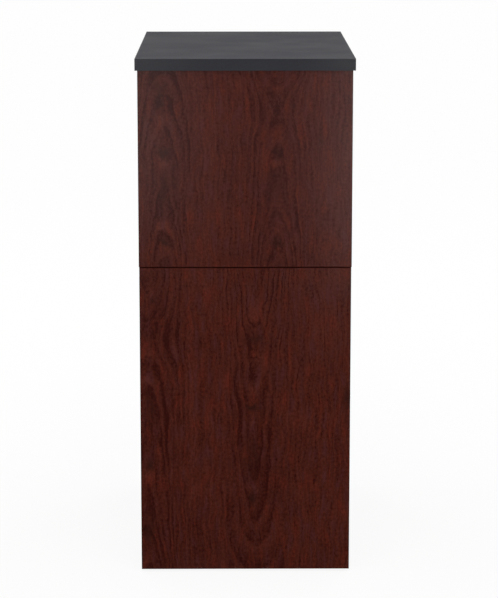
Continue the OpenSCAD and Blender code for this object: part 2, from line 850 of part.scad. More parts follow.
// Chute under the slot
module chute() {
    low_end = chute_point(chute_len, 0);
    color(zinc) difference() {
        union() {
            sheet([-inner_half_w, inner_half_w], [
                chute_start,
                low_end,
                low_end + [0, -chute_lip],
                low_end + [chute_t, -chute_lip],
                chute_point(chute_len - chute_t, -chute_t),
                chute_start + [-chute_t, -chute_t / cos(chute_angle)],
                chute_start + [-chute_t, -chute_back_flange],
                chute_start + [0, -chute_back_flange]
            ]);
            for (s = sides)
                on_side(s) sheet([inner_half_w - chute_t, inner_half_w], [
                    chute_start,
                    low_end,
                    chute_point(chute_len, chute_flange),
                    chute_start + [0, chute_flange / cos(chute_angle)]
                ]);
        }
        pan_holes(chute_side_screws);
        pan_holes(chute_back_screws);
    }
}

// Strips on the sides that keep the cart straight
module cart_guides() {
    color(nylon) difference() {
        for (s = sides)
            on_side(s)
                block([inner_half_w - guide_t, inner_half_w], guide_y,
                    [guide_z - guide_h / 2, guide_z + guide_h / 2]);
        sunk_holes(guide_screws);
    }
}

// Catch under the rail
module magnetic_catch() {
    y = [carcass_y + fit_gap, carcass_y + fit_gap + catch_depth];
    half = catch_w / 2;
    wide = half + catch_wing;
    color(pale_plastic) difference() {
        union() {
            block([catch_x - half, catch_x + half], y, [mid_rail_bottom - catch_h, mid_rail_bottom]);
            block([catch_x - wide, catch_x + wide], y, [mid_rail_bottom - catch_wing_t, mid_rail_bottom]);
        }
        pan_holes(catch_screws);
    }
}

// Piano hinge
module knuckles(first, r, grow) {
    for (i = [first : 2 : knuckle_count - 1])
        translate([hinge_x, hinge_y, hinge_bottom + i * knuckle_pitch + knuckle_gap / 2 - grow])
            cylinder(r = r, h = knuckle_pitch - knuckle_gap + 2 * grow);
}

module hinge_leaf(own, other, y, screws) {
    color(steel) difference() {
        union() {
            block([hinge_x, hinge_x + hinge_leaf_w], y, [hinge_bottom, hinge_top]);
            knuckles(own, knuckle_r, 0);
        }
        knuckles(other, knuckle_r + knuckle_relief, knuckle_gap);
        translate([hinge_x, hinge_y, hinge_bottom - past])
            cylinder(r = hinge_pin_r + run_gap, h = hinge_len + 2 * past);
        sunk_holes(screws);
    }
}

module hinge_leaf_cabinet() {
    hinge_leaf(0, 1, [carcass_y, carcass_y + hinge_leaf_t], cabinet_hinge_screws);
}

module hinge_leaf_door() {
    hinge_leaf(1, 0, [door_back_y - hinge_leaf_t, door_back_y], door_hinge_screws);
}

module hinge_pin() {
    color(zinc) translate([hinge_x, hinge_y, hinge_bottom]) cylinder(r = hinge_pin_r, h = hinge_len);
}

module hinge_screws_cabinet() {
    color(zinc) for (place = cabinet_hinge_screws) sunk_screw(place);
}

module hinge_screws_door() {
    color(zinc) for (place = door_hinge_screws) sunk_screw(place);
}

// Lock in the right side
module lock_barrel() {
    inner_end = inner_half_w - lock_thread;
    face_x = half_w + lock_flange_t;
    color(zinc) difference() {
        union() {
            bar(lock_barrel_r, [inner_end, half_w], lock_y, lock_z);
            bar(lock_flange_r, [half_w, face_x], lock_y, lock_z);
        }
        bar(lock_plug_r + run_gap, [inner_end - past, face_x + past], lock_y, lock_z);
    }
}

module lock_nut() {
    through = [inner_half_w - lock_nut_t - past, inner_half_w + past];
    color(zinc) difference() {
        translate([inner_half_w - lock_nut_t, lock_y, lock_z]) rotate([0, 90, 0])
            cylinder(r = lock_nut_r, h = lock_nut_t, $fn = 6);
        bar(lock_barrel_r + fit_gap / 2, through, lock_y, lock_z);
    }
}

module lock_plug() {
    face_x = half_w + lock_flange_t;
    color(brass) difference() {
        bar(lock_plug_r, [cam_x, face_x], lock_y, lock_z);
        block([face_x - key_slot_depth, face_x + past],
            [lock_y - key_slot_w / 2, lock_y + key_slot_w / 2],
            [lock_z - key_slot_h / 2, lock_z + key_slot_h / 2]);
        bar(cam_screw_r + fit_gap / 2, [cam_x - past, cam_x + cam_screw_len], lock_y, lock_z);
    }
}

module lock_cam() {
    x = [cam_x - cam_t, cam_x];
    tip_y = lock_y - cam_reach + cam_half_w;
    color(zinc) difference() {
        union() {
            bar(cam_half_w, x, lock_y, lock_z);
            bar(cam_half_w, x, tip_y, lock_z);
            block(x, [tip_y, lock_y], [lock_z - cam_half_w, lock_z + cam_half_w]);
        }
        bar(cam_screw_r + fit_gap / 2, [x[0] - past, x[1] + past], lock_y, lock_z);
    }
}

module lock_cam_screw() {
    head = [cam_x - cam_t - cam_screw_head_h, cam_x - cam_t];
    slot_end = cam_screw_head_r + past;
    color(steel) difference() {
        union() {
            bar(cam_screw_head_r, head, lock_y, lock_z);
            bar(cam_screw_r, [head[0], cam_x + cam_screw_len - fit_gap], lock_y, lock_z);
        }
        block([head[0] - past, head[0] + recess_depth], [lock_y - recess_w / 2, lock_y + recess_w / 2],
            [lock_z - slot_end, lock_z + slot_end]);
    }
}

// Door
module door_relief_cut() {
    translate([hinge_x, hinge_y, door_bottom - past])
        cylinder(r = door_relief_r, h = door_top - door_bottom + 2 * past);
}

module door_panel() {
    half = door_half_w - edge_band_t;
    color(mahogany) difference() {
        block([-half, half], [front_y, door_back_y], [door_bottom + edge_band_t, door_top - edge_band_t]);
        door_relief_cut();
        block([hinge_x, hinge_x + hinge_leaf_w], [door_back_y - hinge_leaf_t, door_back_y + past],
            [hinge_bottom, hinge_top]);
        sunk_holes(door_hinge_screws);
        pan_holes(catch_strike_screws);
        pan_holes(lock_strike_screws);
    }
}

module door_edge_band() {
    color(mahogany_edge) difference() {
        front_edge_band(door_half_w, [front_y, door_back_y], [door_bottom, door_top]);
        door_relief_cut();
    }
}

module catch_strike() {
    color(zinc) difference() {
        block([catch_x - catch_strike_half, catch_x + catch_strike_half],
            [door_back_y, door_back_y + catch_strike_t],
            [mid_rail_bottom - catch_h, mid_rail_bottom - fit_gap]);
        pan_holes(catch_strike_screws);
    }
}

module lock_strike() {
    z = [strike_low, strike_high];
    lip_y = [strike_lip_y, strike_lip_y + strike_t];
    leg_x = [strike_leg_x, strike_leg_x + strike_t];
    color(zinc) difference() {
        union() {
            block([strike_leg_x - strike_foot_w, leg_x[1]], [door_back_y, door_back_y + strike_t], z);
            block(leg_x, [door_back_y, lip_y[1]], z);
            block([strike_leg_x, strike_lip_end_x], lip_y, z);
        }
        pan_holes(lock_strike_screws);
    }
}

module strike_screws() {
    color(zinc) for (place = concat(catch_strike_screws, lock_strike_screws)) pan_screw(place);
}

// Cart
module cart_base() {
    color(black_laminate) difference() {
        block([-cart_half_w, cart_half_w], [cart_front, cart_rear], [caster_h, cart_floor]);
        for (c = caster_places) bolt_holes(c);
    }
}

module square_post(x, y) {
    inner = cart_tube - 2 * cart_tube_wall;
    translate([x, y, cart_floor]) difference() {
        cube([cart_tube, cart_tube, rim_z - cart_floor]);
        translate([cart_tube_wall, cart_tube_wall, -past])
            cube([inner, inner, rim_z - cart_floor + past]);
    }
}

module cart_frame() {
    plate_x = [rod_x - rod_margin, tub_half_w];
    plate = [rim_z, rim_z + gusset_t];
    color(cart_grey) difference() {
        union() {
            for (x = [-cart_half_w, tub_half_w], y = [cart_front, tub_y[1]]) square_post(x, y);
            difference() {
                block([-cart_half_w, cart_half_w], [cart_front, cart_rear], [rim_z, cart_top]);
                block([-tub_half_w, tub_half_w], tub_y, [rim_z - past, cart_top + past]);
            }
            for (s = sides) on_side(s) {
                block(plate_x, [tub_y[0], rod_y[0] + rod_margin], plate);
                block(plate_x, [rod_y[1] - rod_margin, tub_y[1]], plate);
            }
        }
        at_rods() translate([0, 0, rim_z - past]) cylinder(r = rod_r + run_gap, h = gusset_t + 2 * past);
    }
}

module cart_side_walls() {
    middle = cart_half_w - cart_tube / 2;
    color(cart_grey)
        for (s = sides)
            on_side(s)
                block([middle - cart_wall_t / 2, middle + cart_wall_t / 2], tub_y, [cart_floor, rim_z]);
}

module cart_end_wall(y, high) {
    color(cart_grey)
        block([-tub_half_w, tub_half_w], [y - cart_wall_t / 2, y + cart_wall_t / 2], [cart_floor, high]);
}

module cart_rear_wall() {
    cart_end_wall(cart_rear - cart_tube / 2, rim_z);
}

module cart_front_gate() {
    cart_end_wall(cart_front + cart_tube / 2, cart_floor + cart_gate_h);
}

module push_handle() {
    z = rim_z + cart_tube / 2;
    bar_y = cart_front - handle_reach;
    straight = handle_half_w - handle_bend_r;
    color(black_steel) {
        bar(handle_r, [-straight, straight], bar_y, z);
        for (s = sides) on_side(s) {
            translate([straight, bar_y + handle_bend_r, z]) rotate([0, 0, -90])
                rotate_extrude(angle = 90) translate([handle_bend_r, 0]) circle(r = handle_r);
            translate([handle_half_w, bar_y + handle_bend_r, z]) rotate([-90, 0, 0])
                cylinder(r = handle_r, h = handle_reach - handle_bend_r);
        }
    }
}

module at_rods() {
    for (s = sides, y = rod_y) translate([s * rod_x, y, 0]) children();
}

module guide_rods() {
    high = rim_z + gusset_t;
    color(zinc) at_rods() translate([0, 0, cart_floor]) cylinder(r = rod_r, h = high - cart_floor);
}

// Collars on the rods stop the rising platform
module rod_collars() {
    low = pad_top + face_gap;
    color(steel) at_rods() difference() {
        translate([0, 0, low]) cylinder(r = collar_r, h = collar_h);
        translate([0, 0, low - past]) cylinder(r = rod_r + run_gap, h = collar_h + 2 * past);
        translate([0, 0, low + collar_h / 2]) rotate([0, 90, 0])
            cylinder(r = collar_screw_r, h = collar_r + past);
    }
}

// Springs round the guide rods: one unbroken wire each, square to the base and to the bush at its ends
spring_rings_per_turn = 8;
spring_wire_sides = 6;
spring_end = 2 * spring_wire_r;
spring_steps = spring_turns * spring_rings_per_turn;
spring_coil_h = spring_high - spring_low - 2 * spring_end;
// Points along the wire's middle, as [angle, height]
spring_path = [
    [0, spring_low],
    for (i = [0 : spring_steps])
        [i * 360 / spring_rings_per_turn, spring_low + spring_end + i * spring_coil_h / spring_steps],
    [spring_turns * 360, spring_high]
];
spring_line = [for (p = spring_path) [spring_r * cos(p[0]), spring_r * sin(p[0]), p[1]]];
spring_last = len(spring_line) - 1;

function unit(v) = v / norm(v);

function spring_tangent(i) =
    let (back = i == 0 ? [0, 0, 1] : unit(spring_line[i] - spring_line[i - 1]))
    let (ahead = i == spring_last ? [0, 0, 1] : unit(spring_line[i + 1] - spring_line[i]))
    unit(back + ahead);

function spring_ring(i) =
    let (outward = [cos(spring_path[i][0]), sin(spring_path[i][0]), 0])
    let (across = cross(spring_tangent(i), outward))
    [for (k = [0 : spring_wire_sides - 1])
        let (angle = k * 360 / spring_wire_sides)
        spring_line[i] + spring_wire_r * (cos(angle) * outward + sin(angle) * across)];

spring_points = [for (i = [0 : spring_last]) each spring_ring(i)];
spring_faces = [
    for (i = [0 : spring_last - 1], k = [0 : spring_wire_sides - 1])
        let (a = i * spring_wire_sides, next = (k + 1) % spring_wire_sides, b = a + spring_wire_sides)
        each [[a + k, b + k, a + next], [a + next, b + k, b + next]],
    for (k = [1 : spring_wire_sides - 2]) [0, k, k + 1],
    for (k = [1 : spring_wire_sides - 2])
        let (e = spring_last * spring_wire_sides) [e, e + k + 1, e + k]
];

// Points closer along the wire than three quarters of a turn are neighbours, not a gap
spring_apart = spring_rings_per_turn * 3 / 4;
spring_self_gap = min([
    for (i = [0 : spring_last - spring_apart], j = [i + spring_apart : spring_last])
        norm(spring_line[i] - spring_line[j])
]) - 2 * spring_wire_r;

module platform_springs() {
    echo("least gap of a spring to itself, mm", spring_self_gap);
    color(steel) at_rods() polyhedron(points = spring_points, faces = spring_faces, convexity = 10);
}

// Platform
module platform_board() {
    color(core_board) difference() {
        block([-platform_half_w, platform_half_w], platform_y, [platform_z, pad_z]);
        at_rods() translate([0, 0, platform_z - past])
            cylinder(r = bush_r + run_gap, h = platform_t + 2 * past);
    }
}

module platform_pad() {
    color(carpet) difference() {
        block([-platform_half_w, platform_half_w], platform_y, [pad_z, pad_top]);
        at_rods() translate([0, 0, pad_z - past]) cylinder(r = bush_r + face_gap, h = pad_t + 2 * past);
    }
}

module platform_bushes() {
    color(nylon) at_rods() difference() {
        union() {
            translate([0, 0, spring_high]) cylinder(r = bush_flange_r, h = bush_flange_t);
            translate([0, 0, platform_z]) cylinder(r = bush_r, h = pad_top - platform_z);
        }
        translate([0, 0, spring_high - past])
            cylinder(r = rod_r + run_gap, h = pad_top - spring_high + 2 * past);
    }
}

// Casters: swivelling at the front, fixed at the rear
front_casters = [for (s = sides) [s * caster_x, caster_front_y]];
rear_casters = [for (s = sides) [s * caster_x, caster_rear_y]];
caster_places = concat(front_casters, rear_casters);

module at_bolts(c) {
    for (s = sides, t = sides)
        translate([c[0] + s * bolt_offset, c[1] + t * bolt_offset, plate_z]) children();
}

module bolt_holes(c) {
    deep = caster_plate_t + bolt_grip + fit_gap;
    at_bolts(c) translate([0, 0, -past]) cylinder(r = bolt_r + fit_gap / 2, h = deep + past);
}

module caster_plates() {
    half = caster_plate_w / 2;
    boss_z = plate_z - swivel_boss_h;
    color(zinc) difference() {
        union() {
            for (c = caster_places)
                block([c[0] - half, c[0] + half], [c[1] - half, c[1] + half], [plate_z, caster_h]);
            for (c = front_casters)
                translate([c[0], c[1], boss_z]) cylinder(r = swivel_boss_r, h = swivel_boss_h);
        }
        for (c = caster_places) bolt_holes(c);
        for (c = front_casters)
            translate([c[0], c[1], boss_z - past])
                cylinder(r = king_pin_r + run_gap, h = swivel_boss_h + past);
    }
}

module caster_bolts() {
    color(zinc)
        for (c = caster_places) at_bolts(c) {
            cylinder(r = bolt_r, h = caster_plate_t + bolt_grip);
            translate([0, 0, -bolt_head_h]) cylinder(r = bolt_head_r, h = bolt_head_h, $fn = 6);
        }
}

// One cheek of a fork, from its top down to the axle, which lies behind the fork's middle by the trail
module fork_cheek(x, top, trail) {
    sheet([x, x + fork_t], [
        [-fork_half_len, top],
        [fork_half_len, top],
        [fork_half_len + trail / 2, top - fork_half_len],
        [trail + fork_boss_r, wheel_r],
        [trail - fork_boss_r, wheel_r]
    ]);
    bar(fork_boss_r, [x, x + fork_t], trail, wheel_r);
}

module fork(top, trail) {
    difference() {
        union() {
            fork_cheek(fork_inner, top, trail);
            fork_cheek(-fork_outer, top, trail);
            block([-fork_outer, fork_outer], [-fork_half_len, fork_half_len], [top - fork_top_t, top]);
        }
        bar(axle_r + run_gap, [-fork_outer - past, fork_outer + past], trail, wheel_r);
    }
}

module rigid_forks() {
    color(zinc) for (c = rear_casters) translate([c[0], c[1], 0]) fork(plate_z, 0);
}

module swivel_fork(s) {
    color(zinc) translate([s * caster_x, caster_front_y, 0]) {
        fork(fork_top_z, caster_trail);
        translate([0, 0, fork_top_z]) cylinder(r = king_pin_r, h = swivel_boss_h);
    }
}

module swivel_fork_left() {
    swivel_fork(-1);
}

module swivel_fork_right() {
    swivel_fork(1);
}

module axle(x, y) {
    far = fork_outer + axle_head_h;
    color(steel) translate([x, y, 0]) {
        bar(axle_r, [-fork_outer, fork_outer], 0, wheel_r);
        bar(axle_head_r, [fork_outer, far], 0, wheel_r);
        bar(axle_head_r, [-far, -fork_outer], 0, wheel_r);
    }
}

module rigid_axles() {
    for (c = rear_casters) axle(c[0], c[1]);
}

module swivel_axle_left() {
    axle(-caster_x, caster_front_y + caster_trail);
}

module swivel_axle_right() {
    axle(caster_x, caster_front_y + caster_trail);
}

// Wheel with a chamfered tread, a dished web and a hub, drawn as half of its section
module wheel(x, y) {
    half = wheel_w / 2;
    bore = axle_r + run_gap;
    rim = wheel_r - tread_depth;
    shoulder = wheel_r - tread_chamfer;
    web = web_t / 2;
    color(rubber) translate([x, y, wheel_r]) rotate([0, 90, 0]) rotate_extrude()
        polygon([
            [bore, -hub_half_w], [hub_r, -hub_half_w], [hub_r, -web], [rim, -web],
            [rim, -half], [shoulder, -half], [wheel_r, tread_chamfer - half],
            [wheel_r, half - tread_chamfer], [shoulder, half], [rim, half],
            [rim, web], [hub_r, web], [hub_r, hub_half_w], [bore, hub_half_w]
        ]);
}

module wheel_front_left() {
    wheel(-caster_x, caster_front_y + caster_trail);
}

module wheel_front_right() {
    wheel(caster_x, caster_front_y + caster_trail);
}

module wheel_rear_left() {
    wheel(-caster_x, caster_rear_y);
}

module wheel_rear_right() {
    wheel(caster_x, caster_rear_y);
}

left_side();
right_side();
back_panel();
upper_front_panel();
upper_panel_edge_band();
top_panel();
top_edge_band();
top_rail_front();
top_rail_rear();
mid_rail();
corner_brackets();
panel_screws();
floor_glides();
door_bumpers();
slot_bezel();
bezel_screws();
flap_pin();
drop_flap();
chute();
cart_guides();
magnetic_catch();
hinge_leaf_cabinet();
hinge_pin();
hinge_screws_cabinet();
lock_barrel();
lock_nut();
lock_plug();
lock_cam();
lock_cam_screw();
door_panel();
door_edge_band();
hinge_leaf_door();
hinge_screws_door();
catch_strike();
lock_strike();
strike_screws();
cart_base();
cart_frame();
cart_side_walls();
cart_rear_wall();
cart_front_gate();
push_handle();
guide_rods();
rod_collars();
platform_springs();
platform_board();
platform_pad();
platform_bushes();
caster_plates();
caster_bolts();
rigid_forks();
rigid_axles();
swivel_fork_left();
swivel_fork_right();
swivel_axle_left();
swivel_axle_right();
wheel_front_left();
wheel_front_right();
wheel_rear_left();
wheel_rear_right();
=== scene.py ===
"""Looks of a library book drop box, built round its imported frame.

The frame gives every rigid piece at its real size. This script gives each piece its finish, makes the
springs and the carpet anew, and sets the floor, the lights and the camera.
"""
import json
import math
from collections import namedtuple
from functools import reduce

import bmesh
import bpy
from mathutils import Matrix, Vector, noise


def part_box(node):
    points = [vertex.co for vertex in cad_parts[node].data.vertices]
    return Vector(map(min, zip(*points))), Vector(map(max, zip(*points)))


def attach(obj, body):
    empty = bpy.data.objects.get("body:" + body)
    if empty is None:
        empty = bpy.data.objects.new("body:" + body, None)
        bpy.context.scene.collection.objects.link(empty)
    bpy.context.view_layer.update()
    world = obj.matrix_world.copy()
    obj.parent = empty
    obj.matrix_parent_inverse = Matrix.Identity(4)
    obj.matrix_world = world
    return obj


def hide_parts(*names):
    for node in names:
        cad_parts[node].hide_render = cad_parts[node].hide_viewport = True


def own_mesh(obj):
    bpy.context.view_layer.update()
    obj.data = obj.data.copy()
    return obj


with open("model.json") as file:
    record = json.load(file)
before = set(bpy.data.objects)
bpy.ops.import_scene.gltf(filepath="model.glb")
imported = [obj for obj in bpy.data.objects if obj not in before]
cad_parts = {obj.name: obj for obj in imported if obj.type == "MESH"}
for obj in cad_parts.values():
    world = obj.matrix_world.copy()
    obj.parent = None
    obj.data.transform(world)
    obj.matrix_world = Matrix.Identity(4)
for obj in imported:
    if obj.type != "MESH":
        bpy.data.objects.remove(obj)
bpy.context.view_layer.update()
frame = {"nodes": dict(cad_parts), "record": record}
nodes = frame["nodes"]

# Camera, fitted to the edges of the cabinet in the photo
PHOTO_SIZE = (498, 598)
CAMERA_PLACE = (-0.030, -5.682, 1.757)
CAMERA_PITCH = 10.35
CAMERA_YAW = 0.42
FOCAL_PIXELS = 2261
SHIFT_PIXELS = -45
SENSOR = 36.0
FARTHEST_SEEN = 200.0

# Stage. Where the floor is looked at it glows nearly white, a little less close to the cabinet
FLOOR_HALF = 30.0
FLOOR_PAINT = (0.86, 0.86, 0.86, 1.0)
FLOOR_GLOW_NEAR = 0.90
FLOOR_GLOW_FAR = 0.985
FLOOR_GLOW_REACH = (0.7, 2.6)
AMBIENT = 0.30
WHITE = (1.0, 1.0, 1.0, 1.0)

# A soft box is its name, its place, its width and height, and its power in watts
Softbox = namedtuple("Softbox", "name place width height power")
SOFTBOXES = (
    Softbox("key", (-2.6, -3.6, 2.2), 2.0, 2.0, 12.0),
    Softbox("fill", (2.8, -3.3, 1.9), 2.2, 2.2, 9.0),
    Softbox("strip_left", (-0.56, -4.5, 0.86), 0.58, 1.40, 30.0),
    Softbox("strip_right", (0.645, -4.5, 0.58), 0.22, 1.34, 36.0),
    Softbox("side_left", (-3.2, 0.2, 1.7), 1.8, 1.8, 24.0),
    Softbox("side_right", (3.2, 0.2, 1.7), 1.8, 1.8, 24.0),
    Softbox("rear_left", (-2.6, 3.4, 2.4), 2.0, 2.0, 54.0),
    Softbox("rear_right", (2.6, 3.4, 2.4), 2.0, 2.0, 54.0),
    Softbox("above", (0.0, 0.0, 3.8), 2.4, 2.4, 20.0),
    Softbox("brow", (0.0, -1.35, 3.1), 1.8, 0.8, 26.0),
)
LIGHT_TARGET = (0.0, 0.0, 0.75)

# Springs of the cart
ROD_RADIUS = 0.006
SPRING_TURNS = 14
SPRING_WIRE = 0.0014
SPRING_STEPS = 24
SPRING_SIDES = 10
SPRING_CLOSED_PITCH = 0.0034

# Carpet of the platform
CARPET_WELD = 0.00001
CARPET_VOXEL = 0.003
CARPET_PILE = 0.0007
CARPET_EDGE_PULL = 0.0014
CARPET_LOOP = 0.0055

# Middle of the noise that Blender gives, and the detail of the noise that warps a pattern
NOISE_MIDDLE = 0.5
WARP_DETAIL = 3.0

# Sockets of a mix node that takes colours
MIX_SHARE = 0
MIX_FIRST = 6
MIX_SECOND = 7
MIX_RESULT = 2


def srgb(red, green, blue):
    """A colour written in 0 to 255 display values, as a linear colour."""
    def linear(value):
        share = value / 255
        return share / 12.92 if share <= 0.04045 else ((share + 0.055) / 1.055) ** 2.4
    return (linear(red), linear(green), linear(blue), 1.0)


class Shading:
    """Adds shader nodes to one tree by short calls. Numbers and sockets may both be given as values."""

    def __init__(self, tree):
        self.tree = tree

    def put(self, socket, value):
        """Sets a socket to a value, or links it where the value is a socket too."""
        if isinstance(value, bpy.types.NodeSocket):
            self.tree.links.new(value, socket)
        else:
            socket.default_value = value

    def add(self, kind, *values):
        """A new node with the values on its first sockets."""
        made = self.tree.nodes.new(kind)
        for socket, value in zip(made.inputs, values):
            self.put(socket, value)
        return made

    def math(self, operation, *values):
        made = self.add("ShaderNodeMath", *values)
        made.operation = operation
        return made.outputs[0]

    def total(self, *values):
        return reduce(lambda first, second: self.math("ADD", first, second), values)

    def less(self, first, second):
        return self.math("SUBTRACT", first, second)

    def times(self, first, second):
        return self.math("MULTIPLY", first, second)

    def square(self, value):
        return self.times(value, value)

    def bell(self, square):
        """Falls softly from 1 at the middle, given the square of the distance from it."""
        return self.math("EXPONENT", self.times(square, -1.0))

    def vector(self, x, y, z):
        return self.add("ShaderNodeCombineXYZ", x, y, z).outputs[0]

    def noise(self, where, detail=2.0):
        """Soft noise round zero, with features about one unit across."""
        made = self.tree.nodes.new("ShaderNodeTexNoise")
        self.put(made.inputs["Vector"], where)
        made.inputs["Scale"].default_value = 1.0
        made.inputs["Detail"].default_value = detail
        return self.less(made.outputs[0], NOISE_MIDDLE)

    def cells(self, where):
        """Cells about one unit across, as a node with a distance and a colour for each cell."""
        made = self.tree.nodes.new("ShaderNodeTexVoronoi")
        self.put(made.inputs["Vector"], where)
        made.inputs["Scale"].default_value = 1.0
        return made

    def ramp(self, value, low, high, to_low=0.0, to_high=1.0, kind="SMOOTHSTEP"):
        """Runs from to_low to to_high while the value runs from low to high, and is level beyond."""
        made = self.add("ShaderNodeMapRange", value, low, high, to_low, to_high)
        made.interpolation_type = kind
        return made.outputs[0]

    def clamped(self, value):
        """The value, kept between 0 and 1."""
        return self.ramp(value, 0.0, 1.0, kind="LINEAR")

    def curve(self, value, points):
        """A smooth curve through points that lie between 0 and 1."""
        made = self.tree.nodes.new("ShaderNodeFloatCurve")
        self.put(made.inputs["Value"], value)
        line = made.mapping.curves[0]
        line.points[0].location = points[0]
        line.points[-1].location = points[-1]
        for point in points[1:-1]:
            line.points.new(*point)
        made.mapping.update()
        return made.outputs[0]

    def mixed(self, share, first, second):
        """The first colour where the share is 0, and the second where it is 1."""
        made = self.tree.nodes.new("ShaderNodeMix")
        made.data_type = "RGBA"
        self.put(made.inputs[MIX_SHARE], share)
        self.put(made.inputs[MIX_FIRST], first)
        self.put(made.inputs[MIX_SECOND], second)
        return made.outputs[MIX_RESULT]

    def looked_at(self):
        """1 where a surface is seen, also in a mirror or through glass, and 0 where it only lights."""
        path = self.add("ShaderNodeLightPath").outputs
        seen = self.math("MAXIMUM", path["Is Camera Ray"], path["Is Glossy Ray"])
        return self.math("MAXIMUM", seen, path["Is Transmission Ray"])


class Look(Shading):
    """A material whose pattern follows the place on the piece."""

    def __init__(self, name, specular=0.5, metallic=0.0):
        self.material = bpy.data.materials.new(name)
        self.material.use_nodes = True
        super().__init__(self.material.node_tree)
        self.shader = self.tree.nodes["Principled BSDF"]
        self.shader.inputs["Specular IOR Level"].default_value = specular
        self.shader.inputs["Metallic"].default_value = metallic
        place = self.add("ShaderNodeTexCoord").outputs["Object"]
        self.x, self.y, self.z = self.add("ShaderNodeSeparateXYZ", place).outputs

    def stretched(self, x, y, z):
        """The place on the piece, counted in features of the given sizes."""
        return self.vector(self.times(self.x, 1 / x), self.times(self.y, 1 / y), self.times(self.z, 1 / z))

    def even(self, size):
        """The place on the piece, counted in features of one size."""
        return self.stretched(size, size, size)

    def warped(self, where, bend_size):
        """A place that is moved by up to half a unit, in swirls of the given size."""
        bend = self.noise(self.even(bend_size), WARP_DETAIL)
        return self.add("ShaderNodeVectorMath", where, self.vector(bend, bend, bend)).outputs[0]

    def first_channel(self, colour):
        return self.add("ShaderNodeSeparateColor", colour).outputs[0]

    def colour(self, value):
        self.put(self.shader.inputs["Base Color"], value)

    def two_tones(self, share, dark, light):
        self.colour(self.mixed(self.clamped(share), dark, light))

    def roughness(self, value):
        self.put(self.shader.inputs["Roughness"], value)

    def relief(self, height, depth):
        """Raises the surface by height, where 1 stands for the given depth in metres."""
        made = self.tree.nodes.new("ShaderNodeBump")
        made.inputs["Distance"].default_value = depth
        self.put(made.inputs["Height"], height)
        self.put(self.shader.inputs["Normal"], made.outputs[0])


# Figures of the wood laminate

# A column of arches is its middle, how far its arches reach to each side, and the heights of its tips:
# those that point up, and above them those that point down
Column = namedtuple("Column", "middle reach up down")
# A figure in the grain is its middle, its height, half its width and half its length, and its depth,
# which is above zero where the figure is dark and below zero where it is pale
Figure = namedtuple("Figure", "middle height half_width half_length depth")

ARCH_REACH = 0.068
WIDE_REACH = 0.080
KNOT_HALF_WIDTH = 0.012
KNOT_HALF_LENGTH = 0.014
KNOT_DEPTH = 0.56
CRESCENT_AWAY = 0.024
CRESCENT_HALF_WIDTH = 0.016
CRESCENT_HALF_LENGTH = 0.012
CRESCENT_DEPTH = -0.38
OVAL_AWAY = 0.044
OVAL_HALF_WIDTH = 0.018
OVAL_HALF_LENGTH = 0.044
LONG_OVAL_HALF_LENGTH = 0.052
OVAL_DEPTH = 0.30
FAINT = 0.50
UP = 1
DOWN = -1


def heart(middle, height, way, oval_half_length=OVAL_HALF_LENGTH, strength=1.0):
    """A knot, a pale crescent and a long dark oval inside an arch that points up or down."""
    crescent = height - way * CRESCENT_AWAY
    oval = height - way * (OVAL_AWAY + oval_half_length)
    return (
        Figure(middle, height, KNOT_HALF_WIDTH, KNOT_HALF_LENGTH, KNOT_DEPTH * strength),
        Figure(middle, crescent, CRESCENT_HALF_WIDTH, CRESCENT_HALF_LENGTH, CRESCENT_DEPTH * strength),
        Figure(middle, oval, OVAL_HALF_WIDTH, oval_half_length, OVAL_DEPTH * strength),
    )


UPPER_COLUMNS = (
    Column(-0.190, ARCH_REACH, (0.760, 0.828, 0.878, 1.047, 1.130, 1.200), ()),
    Column(0.075, ARCH_REACH, (0.760, 0.828, 0.878, 1.047, 1.116), (1.128, 1.195)),
)
UPPER_FIGURES = (
    *heart(-0.190, 1.031, UP),
    *heart(-0.188, 0.816, UP),
    Figure(-0.190, 0.854, 0.017, 0.014, -0.35),
    Figure(-0.198, 1.165, 0.008, 0.034, 0.35),
    Figure(-0.200, 1.105, 0.006, 0.022, -0.25),
    *heart(0.076, 1.032, UP, strength=FAINT),
    *heart(0.076, 0.816, UP, strength=FAINT),
    Figure(0.078, 0.855, 0.016, 0.013, -0.22),
    Figure(0.077, 1.158, 0.015, 0.030, -0.30),
    Figure(0.073, 1.007, 0.015, 0.010, -0.24),
    Figure(0.180, 1.057, 0.005, 0.036, 0.32),
)
DOOR_COLUMNS = (
    Column(-0.236, WIDE_REACH, (0.060, 0.160, 0.290, 0.420, 0.505, 0.580), (0.592, 0.650, 0.725)),
    Column(0.024, ARCH_REACH, (), (0.090, 0.172, 0.400, 0.562, 0.655, 0.735)),
)
DOOR_FIGURES = (
    Figure(0.026, 0.640, 0.018, 0.018, -0.32),
    Figure(0.024, 0.580, 0.013, 0.013, 0.45),
    Figure(0.028, 0.530, 0.018, 0.018, -0.32),
    Figure(0.024, 0.465, 0.012, 0.020, -0.30),
    Figure(0.018, 0.412, 0.018, 0.010, 0.62),
    Figure(0.016, 0.378, 0.014, 0.014, -0.24),
    *heart(0.016, 0.185, DOWN, LONG_OVAL_HALF_LENGTH),
    Figure(-0.230, 0.700, 0.014, 0.018, -0.40),
    Figure(-0.220, 0.678, 0.009, 0.012, 0.50),
    Figure(-0.236, 0.543, 0.010, 0.014, -0.32),
    Figure(-0.238, 0.476, 0.010, 0.014, -0.36),
    Figure(-0.230, 0.412, 0.013, 0.034, 0.38),
    Figure(-0.228, 0.270, 0.010, 0.014, 0.52),
    Figure(-0.230, 0.238, 0.010, 0.016, -0.32),
    Figure(-0.230, 0.110, 0.012, 0.030, 0.48),
    Figure(-0.132, 0.560, 0.004, 0.120, -0.26),
    Figure(-0.126, 0.300, 0.004, 0.140, -0.20),
    Figure(-0.101, 0.690, 0.004, 0.080, -0.24),
    Figure(0.250, 0.430, 0.010, 0.022, 0.62),
)
